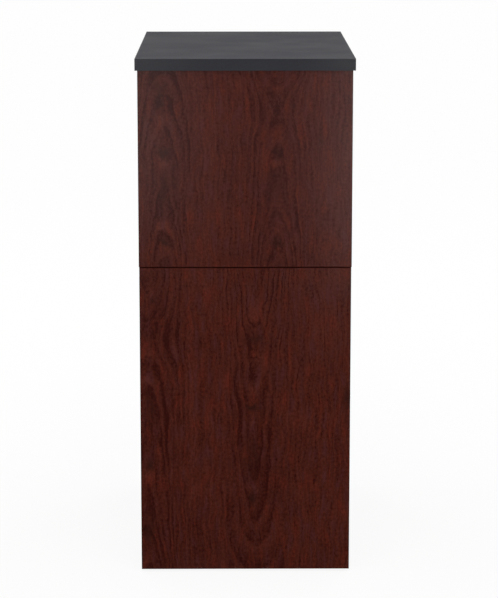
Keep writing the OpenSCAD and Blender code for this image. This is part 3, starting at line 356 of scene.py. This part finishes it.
SIDE_COLUMNS = (
    Column(-0.205, ARCH_REACH, (0.05, 0.12, 0.24, 0.40, 0.46, 0.62, 0.76, 0.84, 1.00), (1.015, 1.14)),
    Column(0.120, ARCH_REACH, (), (0.08, 0.15, 0.30, 0.37, 0.52, 0.60, 0.74, 0.90, 0.98, 1.14)),
)
SIDE_FIGURES = (
    *heart(-0.203, 0.445, UP),
    *heart(-0.203, 0.825, UP),
    *heart(0.118, 0.165, DOWN),
    *heart(0.121, 0.615, DOWN),
    *heart(0.119, 0.995, DOWN),
)
BACK_COLUMNS = (
    Column(-0.120, ARCH_REACH, (0.06, 0.12, 0.26, 0.41, 0.48, 0.61, 0.74, 0.80, 0.96), (0.975, 1.13)),
    Column(0.140, ARCH_REACH, (0.09, 0.22, 0.28, 0.40, 0.54, 0.69), (0.705, 0.86, 0.92, 1.05, 1.12)),
)
BACK_FIGURES = (
    *heart(-0.121, 0.395, UP),
    *heart(-0.119, 0.785, UP),
    *heart(0.142, 0.265, UP),
    *heart(0.139, 0.645, UP),
    *heart(0.141, 0.875, DOWN),
)

# Grain of the wood laminate

# Growth lines: the gap between two lines in metres, how blunt the arches are, how softly two columns
# meet, how far the lines bend, and where in its gap a line darkens, is darkest and fades again
LINE_GAP = 0.0120
ARCH_BLUNT = 0.034
COLUMN_BLEND = 2.0
LINE_BEND = 1.1
LATE_STARTS = 0.20
LATE_DARKEST = 0.80
LATE_FADES = 0.84

# One kind of noise in the grain is the width and length of its upright streaks, its seed and its detail
Streaks = namedtuple("Streaks", "width length seed detail")
DRIFT = Streaks(0.140, 0.330, 0.0, 2.0)
SHIVER = Streaks(0.022, 0.060, 3.0, 2.0)
WANDER = Streaks(0.050, 0.075, 4.0, 2.0)
TEAR_ACROSS = Streaks(0.012, 0.016, 6.0, 2.0)
PATCHES = Streaks(0.036, 0.170, 7.0, 2.0)
TEAR_ALONG = Streaks(0.010, 0.024, 8.0, 2.0)
BROAD = Streaks(0.060, 0.180, 11.0, 3.0)
NARROW = Streaks(0.0060, 0.045, 13.0, 2.0)
FLECK = Streaks(0.0050, 0.0070, 15.0, 2.0)
HAIR = Streaks(0.0012, 0.040, 17.0, 2.0)
PORE = Streaks(0.0007, 0.016, 19.0, 2.0)
HUE = Streaks(0.014, 0.065, 21.0, 3.0)
# These two count their width in growth lines, not in metres
BEND = Streaks(1.4, 0.240, 5.0, 2.0)
RINGS = Streaks(0.25, 0.160, 9.0, 3.0)

# How far the grain sways and the figures are torn, in metres
DRIFT_SWAY = 0.034
WANDER_SWAY = 0.018
SHIVER_SWAY = 0.010
TORN_ACROSS = 0.030
TORN_ALONG = 0.040

# Growth lines come and go in patches, and fade away from the columns
PATCH_EDGE = 0.16
PATCH_LEAST = 0.30
FADE_NEAR = 0.7
FADE_LEAST = 0.47

# Pores, red and dull patches, and how ragged the figures are
PORE_EDGES = (0.10, 0.22)
HUE_EDGE = 0.20
HUE_MOST = 0.75
RAGGED_MIDDLE = 1.15
RAGGED_NOISE = 1.6

# Brightness of the laminate, and what each kind of grain adds to it
PLAIN_SHADE = 0.58
COLUMN_SHADE = -0.10
BROAD_SHADE = 0.55
RINGS_SHADE = 0.65
NARROW_SHADE = 0.85
FLECK_SHADE = 1.28
HAIR_SHADE = 0.35
LATE_SHADE = -0.48
PALE_SHADE = -1.0
PORE_SHADE = -0.12

# Gloss and relief of the laminate. Its sides and back are duller than its front
LAMINATE_GLOSS = 0.035
FRONT_ROUGH = 0.19
SIDE_ROUGH = 0.42
SHADE_ROUGH = -0.03
PORE_ROUGH = 0.08
HAIR_RELIEF = 0.5
PORE_RELIEF = -0.6
GRAIN_RELIEF = 0.00006

# Tones of the laminate: its dark and light lines, its red and dull patches, and its knots
Tones = namedtuple("Tones", "dark light red dull knot")
WOOD = Tones(srgb(41, 5, 1), srgb(74, 31, 22), srgb(82, 27, 14), srgb(64, 30, 31), srgb(27, 9, 5))


def rise_along(look, along, column):
    """Counts a column's arches from its lowest tip to its highest one, from below zero to above it."""
    tips = column.up + column.down
    top = max(len(column.up) - 1, 0)
    counts = [*range(len(column.up)), *[top - i for i in range(len(column.down))]]
    low, high = tips[0], tips[-1]
    least, most = min(counts), max(counts)
    shares = [(tip - low) / (high - low) for tip in tips]
    points = [(share, (count - least) / (most - least)) for share, count in zip(shares, counts)]
    share = look.times(look.less(along, low), 1 / (high - low))
    return look.times(look.less(look.curve(share, points), 0.5), most - least)


def growth_lines(look, across, along, columns):
    """Counts growth lines, straight far from the columns and arched on them, and says how near they are."""
    lines = []
    arches = []
    bells = []
    for column in columns:
        offset = look.less(across, column.middle)
        away = look.math("SQRT", look.total(look.square(offset), ARCH_BLUNT ** 2))
        bell = look.bell(look.square(look.times(offset, 1 / column.reach)))
        lines.append(look.times(away, 1 / LINE_GAP))
        arches.append(look.times(bell, rise_along(look, along, column)))
        bells.append(bell)
    nearest = reduce(lambda first, second: look.math("SMOOTH_MIN", first, second, COLUMN_BLEND), lines)
    nearness = reduce(lambda first, second: look.math("MAXIMUM", first, second), bells)
    return look.total(nearest, *arches), nearness


def soft_patches(look, across, along, figures):
    """How deep the given figures are at each place, each one fading softly from its middle."""
    patches = []
    for figure in figures:
        u = look.times(look.less(across, figure.middle), 1 / figure.half_width)
        v = look.times(look.less(along, figure.height), 1 / figure.half_length)
        bell = look.bell(look.total(look.square(u), look.square(v)))
        patches.append(look.times(bell, figure.depth))
    return look.total(*patches)


def mahogany(name, across_axis, columns, figures, rough):
    """Dark mahogany laminate with upright grain and the given roughness."""
    look = Look(name, specular=LAMINATE_GLOSS)
    along = look.z
    plain = look.x if across_axis == "x" else look.y

    def grain(across, kind):
        """Noise of one kind, in upright streaks."""
        where = look.vector(look.times(across, 1 / kind.width), look.times(along, 1 / kind.length), kind.seed)
        return look.noise(where, kind.detail)

    across = look.total(
        plain,
        look.times(grain(plain, DRIFT), DRIFT_SWAY),
        look.times(grain(plain, WANDER), WANDER_SWAY),
        look.times(grain(plain, SHIVER), SHIVER_SWAY),
    )
    phase, nearness = growth_lines(look, across, along, columns)
    saw = look.math("FRACT", look.total(phase, look.times(grain(phase, BEND), LINE_BEND)))
    darkening = look.ramp(saw, LATE_STARTS, LATE_DARKEST)
    late = look.times(darkening, look.ramp(saw, LATE_FADES, 1.0, 1.0, 0.0))
    patchy = look.ramp(grain(across, PATCHES), -PATCH_EDGE, PATCH_EDGE, PATCH_LEAST, 1.0)
    fading = look.times(patchy, look.ramp(nearness, 0.0, FADE_NEAR, FADE_LEAST, 1.0))

    rings = grain(phase, RINGS)
    fleck = grain(across, FLECK)
    hair = grain(across, HAIR)
    pores = look.ramp(grain(across, PORE), *PORE_EDGES)
    hue = grain(across, HUE)
    redness = look.ramp(hue, 0.0, HUE_EDGE, 0.0, HUE_MOST)
    dullness = look.ramp(look.times(hue, -1.0), 0.0, HUE_EDGE, 0.0, HUE_MOST)

    ragged = look.total(RAGGED_MIDDLE, look.times(fleck, RAGGED_NOISE), look.times(rings, RAGGED_NOISE))
    torn_across = look.total(across, look.times(grain(plain, TEAR_ACROSS), TORN_ACROSS))
    torn_along = look.total(along, look.times(grain(plain, TEAR_ALONG), TORN_ALONG))
    dark = soft_patches(look, torn_across, torn_along, [figure for figure in figures if figure.depth > 0])
    pale = soft_patches(look, torn_across, torn_along, [figure for figure in figures if figure.depth < 0])

    shade = look.clamped(look.total(
        PLAIN_SHADE,
        look.times(nearness, COLUMN_SHADE),
        look.times(grain(across, BROAD), BROAD_SHADE),
        look.times(rings, RINGS_SHADE),
        look.times(grain(across, NARROW), NARROW_SHADE),
        look.times(fleck, FLECK_SHADE),
        look.times(hair, HAIR_SHADE),
        look.times(look.times(late, fading), LATE_SHADE),
        look.times(look.times(pale, ragged), PALE_SHADE),
        look.times(pores, PORE_SHADE),
    ))
    wood = look.mixed(shade, WOOD.dark, WOOD.light)
    wood = look.mixed(look.times(redness, shade), wood, WOOD.red)
    wood = look.mixed(look.times(dullness, shade), wood, WOOD.dull)
    look.two_tones(look.times(dark, ragged), wood, WOOD.knot)
    look.roughness(look.total(rough, look.times(shade, SHADE_ROUGH), look.times(pores, PORE_ROUGH)))
    look.relief(look.total(look.times(hair, HAIR_RELIEF), look.times(pores, PORE_RELIEF)), GRAIN_RELIEF)
    return look.material


# Painted, plated and moulded finishes
MIDDLE_TONE = 0.5
MOTTLE_DETAIL = 4.0
MOTTLE_TONE = 1.1
GRIT_TONE = 0.5
GRIT_ROUGH = 0.4
ROUGH_EDGE = 0.35


def finish(name, dark, light, spot, rough, grit, depth, specular=0.5, metallic=0.0, pull=(1, 1, 1)):
    """A mottled surface: two tones in spots, roughness between two values, and fine grit in relief."""
    look = Look(name, specular, metallic)
    mottle = look.noise(look.stretched(*[spot * p for p in pull]), MOTTLE_DETAIL)
    grain = look.noise(look.stretched(*[grit * p for p in pull]))
    share = look.total(MIDDLE_TONE, look.times(mottle, MOTTLE_TONE), look.times(grain, GRIT_TONE))
    look.two_tones(share, dark, light)
    uneven = look.total(mottle, look.times(grain, GRIT_ROUGH))
    look.roughness(look.ramp(uneven, -ROUGH_EDGE, ROUGH_EDGE, *rough))
    look.relief(grain, depth)
    return look.material


# Black laminate
PEBBLE_SIZE = 0.0016
CLOUD_SIZE = 0.16
CLOUD_DETAIL = 4.0
CLOUD_TONE = 0.5
CLOUD_EDGE = 0.3
SPECK_SIZE = 0.0028
SPECK_DETAIL = 3.0
SPECK_TONE = 0.9
SPECK_RELIEF = 0.5
DUST_SIZE = 0.004
DUST_DETAIL = 1.0
DUST_EDGES = (0.24, 0.30)
DUST_TONE = 0.25


def black_laminate(name, dark, light, specular, rough, depth):
    """Black laminate with a fine pebbled face and a few pale specks of dust."""
    look = Look(name, specular)
    pebbles = look.cells(look.even(PEBBLE_SIZE)).outputs["Distance"]
    cloud = look.noise(look.even(CLOUD_SIZE), CLOUD_DETAIL)
    specks = look.noise(look.even(SPECK_SIZE), SPECK_DETAIL)
    dust = look.ramp(look.noise(look.even(DUST_SIZE), DUST_DETAIL), *DUST_EDGES)
    share = look.total(
        MIDDLE_TONE,
        look.times(cloud, CLOUD_TONE),
        look.times(specks, SPECK_TONE),
        look.times(dust, DUST_TONE),
    )
    look.two_tones(share, dark, light)
    look.roughness(look.ramp(cloud, -CLOUD_EDGE, CLOUD_EDGE, *rough))
    look.relief(look.total(pebbles, look.times(specks, SPECK_RELIEF)), depth)
    return look.material


# Galvanised sheet
SPANGLE_SIZE = 0.014
SPANGLE_BEND = 0.02
SCRATCH_SIZE = (0.0012, 0.05, 0.05)
SCRATCH_DETAIL = 3.0
SCRATCH_TONE = 0.5
SCRATCH_RELIEF = 0.00004
SPANGLE_ROUGH = (0.34, 0.50)


def galvanised(name, dark, light):
    """Zinc-dipped sheet with its spangles."""
    look = Look(name, metallic=1.0)
    spangles = look.cells(look.warped(look.even(SPANGLE_SIZE), SPANGLE_BEND))
    scratch = look.noise(look.stretched(*SCRATCH_SIZE), SCRATCH_DETAIL)
    share = look.total(look.first_channel(spangles.outputs["Color"]), look.times(scratch, SCRATCH_TONE))
    look.two_tones(share, dark, light)
    look.roughness(look.ramp(share, 0.0, 1.0, *SPANGLE_ROUGH))
    look.relief(scratch, SCRATCH_RELIEF)
    return look.material


# Raw board
BOARD_GLOSS = 0.3
CHIP_SIZE = (0.0075, 0.0035, 0.0045)
CHIP_BEND = 0.01
CHIP_DARKEST = 0.1
CHIP_TONE = 0.8
CHIP_RELIEF = -0.5
FIBRE_SIZE = (0.006, 0.0007, 0.0010)
FIBRE_DETAIL = 3.0
FIBRE_TONE = 0.9
FIBRE_EDGE = 0.3
BOARD_ROUGH = (0.72, 0.86)
BOARD_RELIEF = 0.0003


def chipboard(name, dark, light):
    """Raw board: pressed chips of several tones."""
    look = Look(name, specular=BOARD_GLOSS)
    chips = look.cells(look.warped(look.stretched(*CHIP_SIZE), CHIP_BEND))
    tone = look.first_channel(chips.outputs["Color"])
    fibre = look.noise(look.stretched(*FIBRE_SIZE), FIBRE_DETAIL)
    share = look.total(CHIP_DARKEST, look.times(tone, CHIP_TONE), look.times(fibre, FIBRE_TONE))
    look.two_tones(share, dark, light)
    look.roughness(look.ramp(fibre, -FIBRE_EDGE, FIBRE_EDGE, *BOARD_ROUGH))
    look.relief(look.total(fibre, look.times(chips.outputs["Distance"], CHIP_RELIEF)), BOARD_RELIEF)
    return look.material


# Yarn of the carpet
YARN_GLOSS = 0.2
YARN_MIDDLE = 0.55
YARN_TONE = 0.45
HAIRS_SIZE = 0.0007
HAIRS_DETAIL = 3.0
HAIRS_TONE = 0.6
HAIRS_EDGE = 0.3
HAIRS_RELIEF = 0.5
# Painted shade: how much darker the yarn is painted towards the gaps between the loops
GAP_PAINTED_SHADE = -0.75
GAP_RELIEF = -1.0
YARN_ROUGH = (0.85, 0.98)
YARN_RELIEF = 0.0012
YARN_SHEEN = 0.25
YARN_SHEEN_ROUGH = 0.5


def carpet_look(name, dark, light):
    """Loop pile: round loops with painted shade darkening the gaps between them, and flecks of yarn in two
    tones.
    """
    look = Look(name, specular=YARN_GLOSS)
    loops = look.cells(look.even(CARPET_LOOP))
    gap = loops.outputs["Distance"]
    yarn = look.first_channel(loops.outputs["Color"])
    hairs = look.noise(look.even(HAIRS_SIZE), HAIRS_DETAIL)
    share = look.total(
        YARN_MIDDLE,
        look.times(yarn, YARN_TONE),
        look.times(hairs, HAIRS_TONE),
        # painted shade in the gaps between the loops
        look.times(gap, GAP_PAINTED_SHADE),
    )
    look.two_tones(share, dark, light)
    look.roughness(look.ramp(hairs, -HAIRS_EDGE, HAIRS_EDGE, *YARN_ROUGH))
    look.relief(look.total(look.times(gap, GAP_RELIEF), look.times(hairs, HAIRS_RELIEF)), YARN_RELIEF)
    look.shader.inputs["Sheen Weight"].default_value = YARN_SHEEN
    look.shader.inputs["Sheen Roughness"].default_value = YARN_SHEEN_ROUGH
    return look.material


# Wheels of the casters
WHEEL_GLOSS = 0.4
TREAD_DEPTH = 0.010
TREAD_EDGE = 0.0002
TREAD_DARK = srgb(26, 26, 27)
TREAD_LIGHT = srgb(46, 46, 47)
WEB_DARK = srgb(108, 110, 112)
WEB_LIGHT = srgb(132, 134, 136)
WHEEL_SPOT = 0.006
WHEEL_GRIT = 0.0008
WHEEL_GRIT_TONE = 0.6
WHEEL_TONE_EDGE = 0.4
WEB_ROUGH = 0.42
TREAD_ROUGHER = 0.26
SPOT_ROUGHER = 0.12
WHEEL_RELIEF = 0.00012


def wheel_look(name, middle, tread_from):
    """A wheel with a dark rubber tread on a grey moulded centre."""
    look = Look(name, specular=WHEEL_GLOSS)
    up = look.less(look.z, middle.z)
    forward = look.less(look.y, middle.y)
    radius = look.math("SQRT", look.total(look.square(up), look.square(forward)))
    tread = look.ramp(radius, tread_from - TREAD_EDGE, tread_from + TREAD_EDGE)
    mottle = look.noise(look.even(WHEEL_SPOT), MOTTLE_DETAIL)
    grain = look.noise(look.even(WHEEL_GRIT))
    uneven = look.total(mottle, look.times(grain, WHEEL_GRIT_TONE))
    share = look.ramp(uneven, -WHEEL_TONE_EDGE, WHEEL_TONE_EDGE)
    rubber = look.mixed(share, TREAD_DARK, TREAD_LIGHT)
    web = look.mixed(share, WEB_DARK, WEB_LIGHT)
    look.colour(look.mixed(tread, web, rubber))
    look.roughness(look.total(WEB_ROUGH, look.times(tread, TREAD_ROUGHER), look.times(mottle, SPOT_ROUGHER)))
    look.relief(grain, WHEEL_RELIEF)
    return look.material


# Looks by the record's material slots, and those of single pieces
slot_looks = {
    "mahogany_laminate": mahogany("back_laminate", "x", BACK_COLUMNS, BACK_FIGURES, SIDE_ROUGH),
    "mahogany_edge": finish("dark_edge_strip", srgb(28, 6, 2), srgb(52, 17, 10), spot=0.012,
                            rough=(0.52, 0.64), grit=0.0008, depth=0.00006, specular=0.01, pull=(1, 1, 6)),
    "black_laminate": black_laminate("black_top", srgb(27, 27, 31), srgb(43, 43, 50), specular=0.035,
                                     rough=(0.50, 0.60), depth=0.00010),
    "black_edge": black_laminate("black_edge_strip", srgb(32, 32, 36), srgb(46, 47, 51), specular=0.03,
                                 rough=(0.18, 0.22), depth=0.00001),
    "core_board": chipboard("raw_board", srgb(96, 70, 46), srgb(182, 148, 108)),
    "zinc": finish("zinc_plate", srgb(168, 171, 174), srgb(206, 208, 210), spot=0.008, rough=(0.26, 0.40),
                   grit=0.0009, depth=0.00003, metallic=1.0),
    "steel": finish("plain_steel", srgb(138, 140, 143), srgb(182, 184, 187), spot=0.006, rough=(0.24, 0.40),
                    grit=0.0006, depth=0.00003, metallic=1.0),
    "bezel_metal": finish("brushed_steel", srgb(158, 160, 162), srgb(192, 194, 196), spot=0.0012,
                          rough=(0.28, 0.42), grit=0.0005, depth=0.00003, metallic=1.0, pull=(40, 1, 1)),
    "black_steel": finish("black_powder_coat", srgb(28, 28, 30), srgb(44, 44, 46), spot=0.010,
                          rough=(0.42, 0.56), grit=0.0011, depth=0.00010, specular=0.4),
    "galvanised_sheet": galvanised("galvanised_sheet", srgb(142, 147, 152), srgb(198, 203, 207)),
    "pale_plastic": finish("pale_plastic", srgb(206, 200, 188), srgb(224, 219, 208), spot=0.010,
                           rough=(0.40, 0.54), grit=0.0007, depth=0.00005, specular=0.45),
    "brass": finish("satin_brass", srgb(176, 138, 66), srgb(214, 178, 104), spot=0.003, rough=(0.22, 0.36),
                    grit=0.0004, depth=0.00003, metallic=1.0, pull=(1, 4, 4)),
    "cart_grey": finish("grey_powder_coat", srgb(104, 110, 116), srgb(128, 134, 140), spot=0.012,
                        rough=(0.44, 0.58), grit=0.0012, depth=0.00010, specular=0.45),
    "carpet": carpet_look("loop_carpet", srgb(26, 29, 34), srgb(92, 98, 106)),
    "nylon": finish("nylon", srgb(214, 210, 198), srgb(232, 229, 219), spot=0.012, rough=(0.38, 0.52),
                    grit=0.0008, depth=0.00004, specular=0.45),
    "rubber": finish("black_rubber", srgb(20, 20, 21), srgb(38, 38, 39), spot=0.004, rough=(0.66, 0.82),
                     grit=0.0006, depth=0.00008, specular=0.35),
}
own_looks = {
    "upper_front_panel": mahogany("upper_laminate", "x", UPPER_COLUMNS, UPPER_FIGURES, FRONT_ROUGH),
    "door_panel": mahogany("door_laminate", "x", DOOR_COLUMNS, DOOR_FIGURES, FRONT_ROUGH),
}
side_laminate = mahogany("side_laminate", "y", SIDE_COLUMNS, SIDE_FIGURES, SIDE_ROUGH)
for side in ("left_side", "right_side"):
    own_looks[side] = side_laminate
for wheel in ("wheel_front_left", "wheel_front_right", "wheel_rear_left", "wheel_rear_right"):
    low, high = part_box(wheel)
    tread_from = (high.z - low.z) / 2 - TREAD_DEPTH
    own_looks[wheel] = wheel_look(wheel + "_look", (low + high) / 2, tread_from)

for part in frame["record"]["subparts"]:
    name = part["node"]
    look = own_looks.get(name) or slot_looks[part["material_slot"]]
    nodes[name].data.materials.clear()
    nodes[name].data.materials.append(look)


# Pieces that the frame holds only as simple solids

def add_piece(name, mesh, body, look):
    """A new piece that rides on a body and has a slot's look."""
    piece = bpy.data.objects.new(name, mesh)
    bpy.context.scene.collection.objects.link(piece)
    mesh.materials.clear()
    mesh.materials.append(look)
    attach(piece, body)
    return piece


def spring_line(low, high, radius):
    """Points along one spring's wire, with a closed turn at each end."""
    turns = []
    open_pitch = (high - low - 2 * SPRING_CLOSED_PITCH) / (SPRING_TURNS - 2)
    for i in range(SPRING_TURNS * SPRING_STEPS + 1):
        turn = i / SPRING_STEPS
        first = min(turn, 1.0) * SPRING_CLOSED_PITCH
        middle = min(max(turn - 1.0, 0.0), SPRING_TURNS - 2) * open_pitch
        last = max(turn - (SPRING_TURNS - 1), 0.0) * SPRING_CLOSED_PITCH
        turns.append((2 * math.pi * turn, low + first + middle + last))
    return [Vector((radius * math.cos(a), radius * math.sin(a), z)) for a, z in turns]


def add_tube(mesh, line, radius, sides):
    """Sweeps a round wire along a line and closes its ends."""
    rings = []
    for i, point in enumerate(line):
        ahead = line[min(i + 1, len(line) - 1)] - line[max(i - 1, 0)]
        out = Vector((point.x, point.y, 0.0)).normalized()
        across = ahead.cross(out).normalized()
        ring = []
        for k in range(sides):
            angle = 2 * math.pi * k / sides
            ring.append(mesh.verts.new(point + radius * (math.cos(angle) * out + math.sin(angle) * across)))
        rings.append(ring)
    for first, second in zip(rings, rings[1:]):
        for k in range(sides):
            follow = (k + 1) % sides
            mesh.faces.new((first[k], first[follow], second[follow], second[k]))
    mesh.faces.new(rings[0][::-1])
    mesh.faces.new(rings[-1])


def make_springs():
    """Four springs round the guide rods."""
    low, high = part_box("platform_springs")
    rod_low, rod_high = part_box("guide_rods")
    rod_x = rod_high.x - ROD_RADIUS
    radius = high.x - rod_x - SPRING_WIRE
    start = low.z + SPRING_WIRE
    end = high.z - SPRING_WIRE
    built = bmesh.new()
    for x in (-rod_x, rod_x):
        for y in (rod_low.y + ROD_RADIUS, rod_high.y - ROD_RADIUS):
            before = set(built.verts)
            add_tube(built, spring_line(start, end, radius), SPRING_WIRE, SPRING_SIDES)
            added = [v for v in built.verts if v not in before]
            bmesh.ops.translate(built, vec=(x, y, 0.0), verts=added)
    bmesh.ops.recalc_face_normals(built, faces=built.faces)
    mesh = bpy.data.meshes.new("cart_springs")
    built.to_mesh(mesh)
    built.free()
    mesh.shade_smooth()
    springs = add_piece("cart_springs", mesh, "cart", slot_looks["steel"])
    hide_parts("platform_springs")
    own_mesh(springs)


def make_carpet():
    """The carpet on the platform: loop pile with a soft edge, flat underneath."""
    low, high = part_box("platform_pad")
    mesh = nodes["platform_pad"].data.copy()
    mesh.name = "platform_carpet"
    carpet = add_piece("platform_carpet", mesh, "platform", slot_looks["carpet"])
    weld = carpet.modifiers.new("join", "WELD")
    weld.merge_threshold = CARPET_WELD
    remesh = carpet.modifiers.new("voxels", "REMESH")
    remesh.mode = "VOXEL"
    remesh.voxel_size = CARPET_VOXEL
    evaluated = carpet.evaluated_get(bpy.context.evaluated_depsgraph_get())
    carpet.data = bpy.data.meshes.new_from_object(evaluated)
    carpet.modifiers.clear()
    carpet.data.name = "platform_carpet"
    thick = high.z - low.z
    for vertex in carpet.data.vertices:
        place = vertex.co
        up = min(max((place.z - low.z) / thick, 0.0), 1.0)
        pile = noise.noise(place / CARPET_LOOP)
        place.z += up * CARPET_PILE * (pile - 1.0)
        for axis in (0, 1):
            edge = min(place[axis] - low[axis], high[axis] - place[axis])
            if edge < CARPET_VOXEL:
                inward = 1.0 if place[axis] < (low[axis] + high[axis]) / 2 else -1.0
                place[axis] += inward * up * CARPET_EDGE_PULL
    carpet.data.shade_smooth()
    carpet.data.materials.clear()
    carpet.data.materials.append(slot_looks["carpet"])
    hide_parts("platform_pad")


make_springs()
make_carpet()


# Stage, lights and camera

def set_world():
    """A world that lights softly and is white where it is looked at."""
    world = bpy.data.worlds.new("studio")
    bpy.context.scene.world = world
    world.use_nodes = True
    shading = Shading(world.node_tree)
    strength = shading.ramp(shading.looked_at(), 0.0, 1.0, AMBIENT, 1.0, "LINEAR")
    background = world.node_tree.nodes["Background"]
    background.inputs["Color"].default_value = WHITE
    shading.put(background.inputs["Strength"], strength)


def floor_look():
    """White paint, which glows where it is looked at."""
    material = bpy.data.materials.new("floor")
    material.use_nodes = True
    material.node_tree.nodes.clear()
    shading = Shading(material.node_tree)
    away = shading.add("ShaderNodeVectorMath", shading.add("ShaderNodeTexCoord").outputs["Object"])
    away.operation = "LENGTH"
    share = shading.ramp(away.outputs["Value"], *FLOOR_GLOW_REACH, FLOOR_GLOW_NEAR, FLOOR_GLOW_FAR, "LINEAR")
    glowing = shading.times(shading.looked_at(), share)
    paint = shading.add("ShaderNodeBsdfDiffuse", FLOOR_PAINT).outputs[0]
    glow = shading.add("ShaderNodeEmission", WHITE).outputs[0]
    both = shading.add("ShaderNodeMixShader", glowing, paint, glow).outputs[0]
    shading.add("ShaderNodeOutputMaterial", both)
    return material


def make_floor():
    """A flat floor under the cabinet."""
    mesh = bpy.data.meshes.new("floor")
    corners = [(-FLOOR_HALF, -FLOOR_HALF, 0), (FLOOR_HALF, -FLOOR_HALF, 0),
               (FLOOR_HALF, FLOOR_HALF, 0), (-FLOOR_HALF, FLOOR_HALF, 0)]
    mesh.from_pydata(corners, [], [(0, 1, 2, 3)])
    mesh.materials.append(floor_look())
    floor = bpy.data.objects.new("floor", mesh)
    bpy.context.scene.collection.objects.link(floor)


def make_lights():
    """Soft boxes, all turned to one target."""
    for box in SOFTBOXES:
        light = bpy.data.lights.new(box.name, "AREA")
        light.shape = "RECTANGLE"
        light.size = box.width
        light.size_y = box.height
        light.energy = box.power
        lamp = bpy.data.objects.new(box.name, light)
        lamp.location = box.place
        lamp.rotation_euler = (Vector(LIGHT_TARGET) - lamp.location).to_track_quat("-Z", "Y").to_euler()
        bpy.context.scene.collection.objects.link(lamp)


def make_camera():
    """A camera at the place that the photo was taken from, with its framing."""
    camera = bpy.data.cameras.new("camera")
    camera.sensor_width = SENSOR
    camera.lens = FOCAL_PIXELS / max(PHOTO_SIZE) * SENSOR
    camera.shift_y = SHIFT_PIXELS / max(PHOTO_SIZE)
    camera.clip_end = FARTHEST_SEEN
    holder = bpy.data.objects.new("camera", camera)
    holder.location = CAMERA_PLACE
    holder.rotation_euler = (math.radians(90 - CAMERA_PITCH), 0.0, math.radians(-CAMERA_YAW))
    bpy.context.scene.collection.objects.link(holder)
    bpy.context.scene.camera = holder


set_world()
make_floor()
make_lights()
make_camera()
bpy.context.scene.view_settings.view_transform = "Standard"
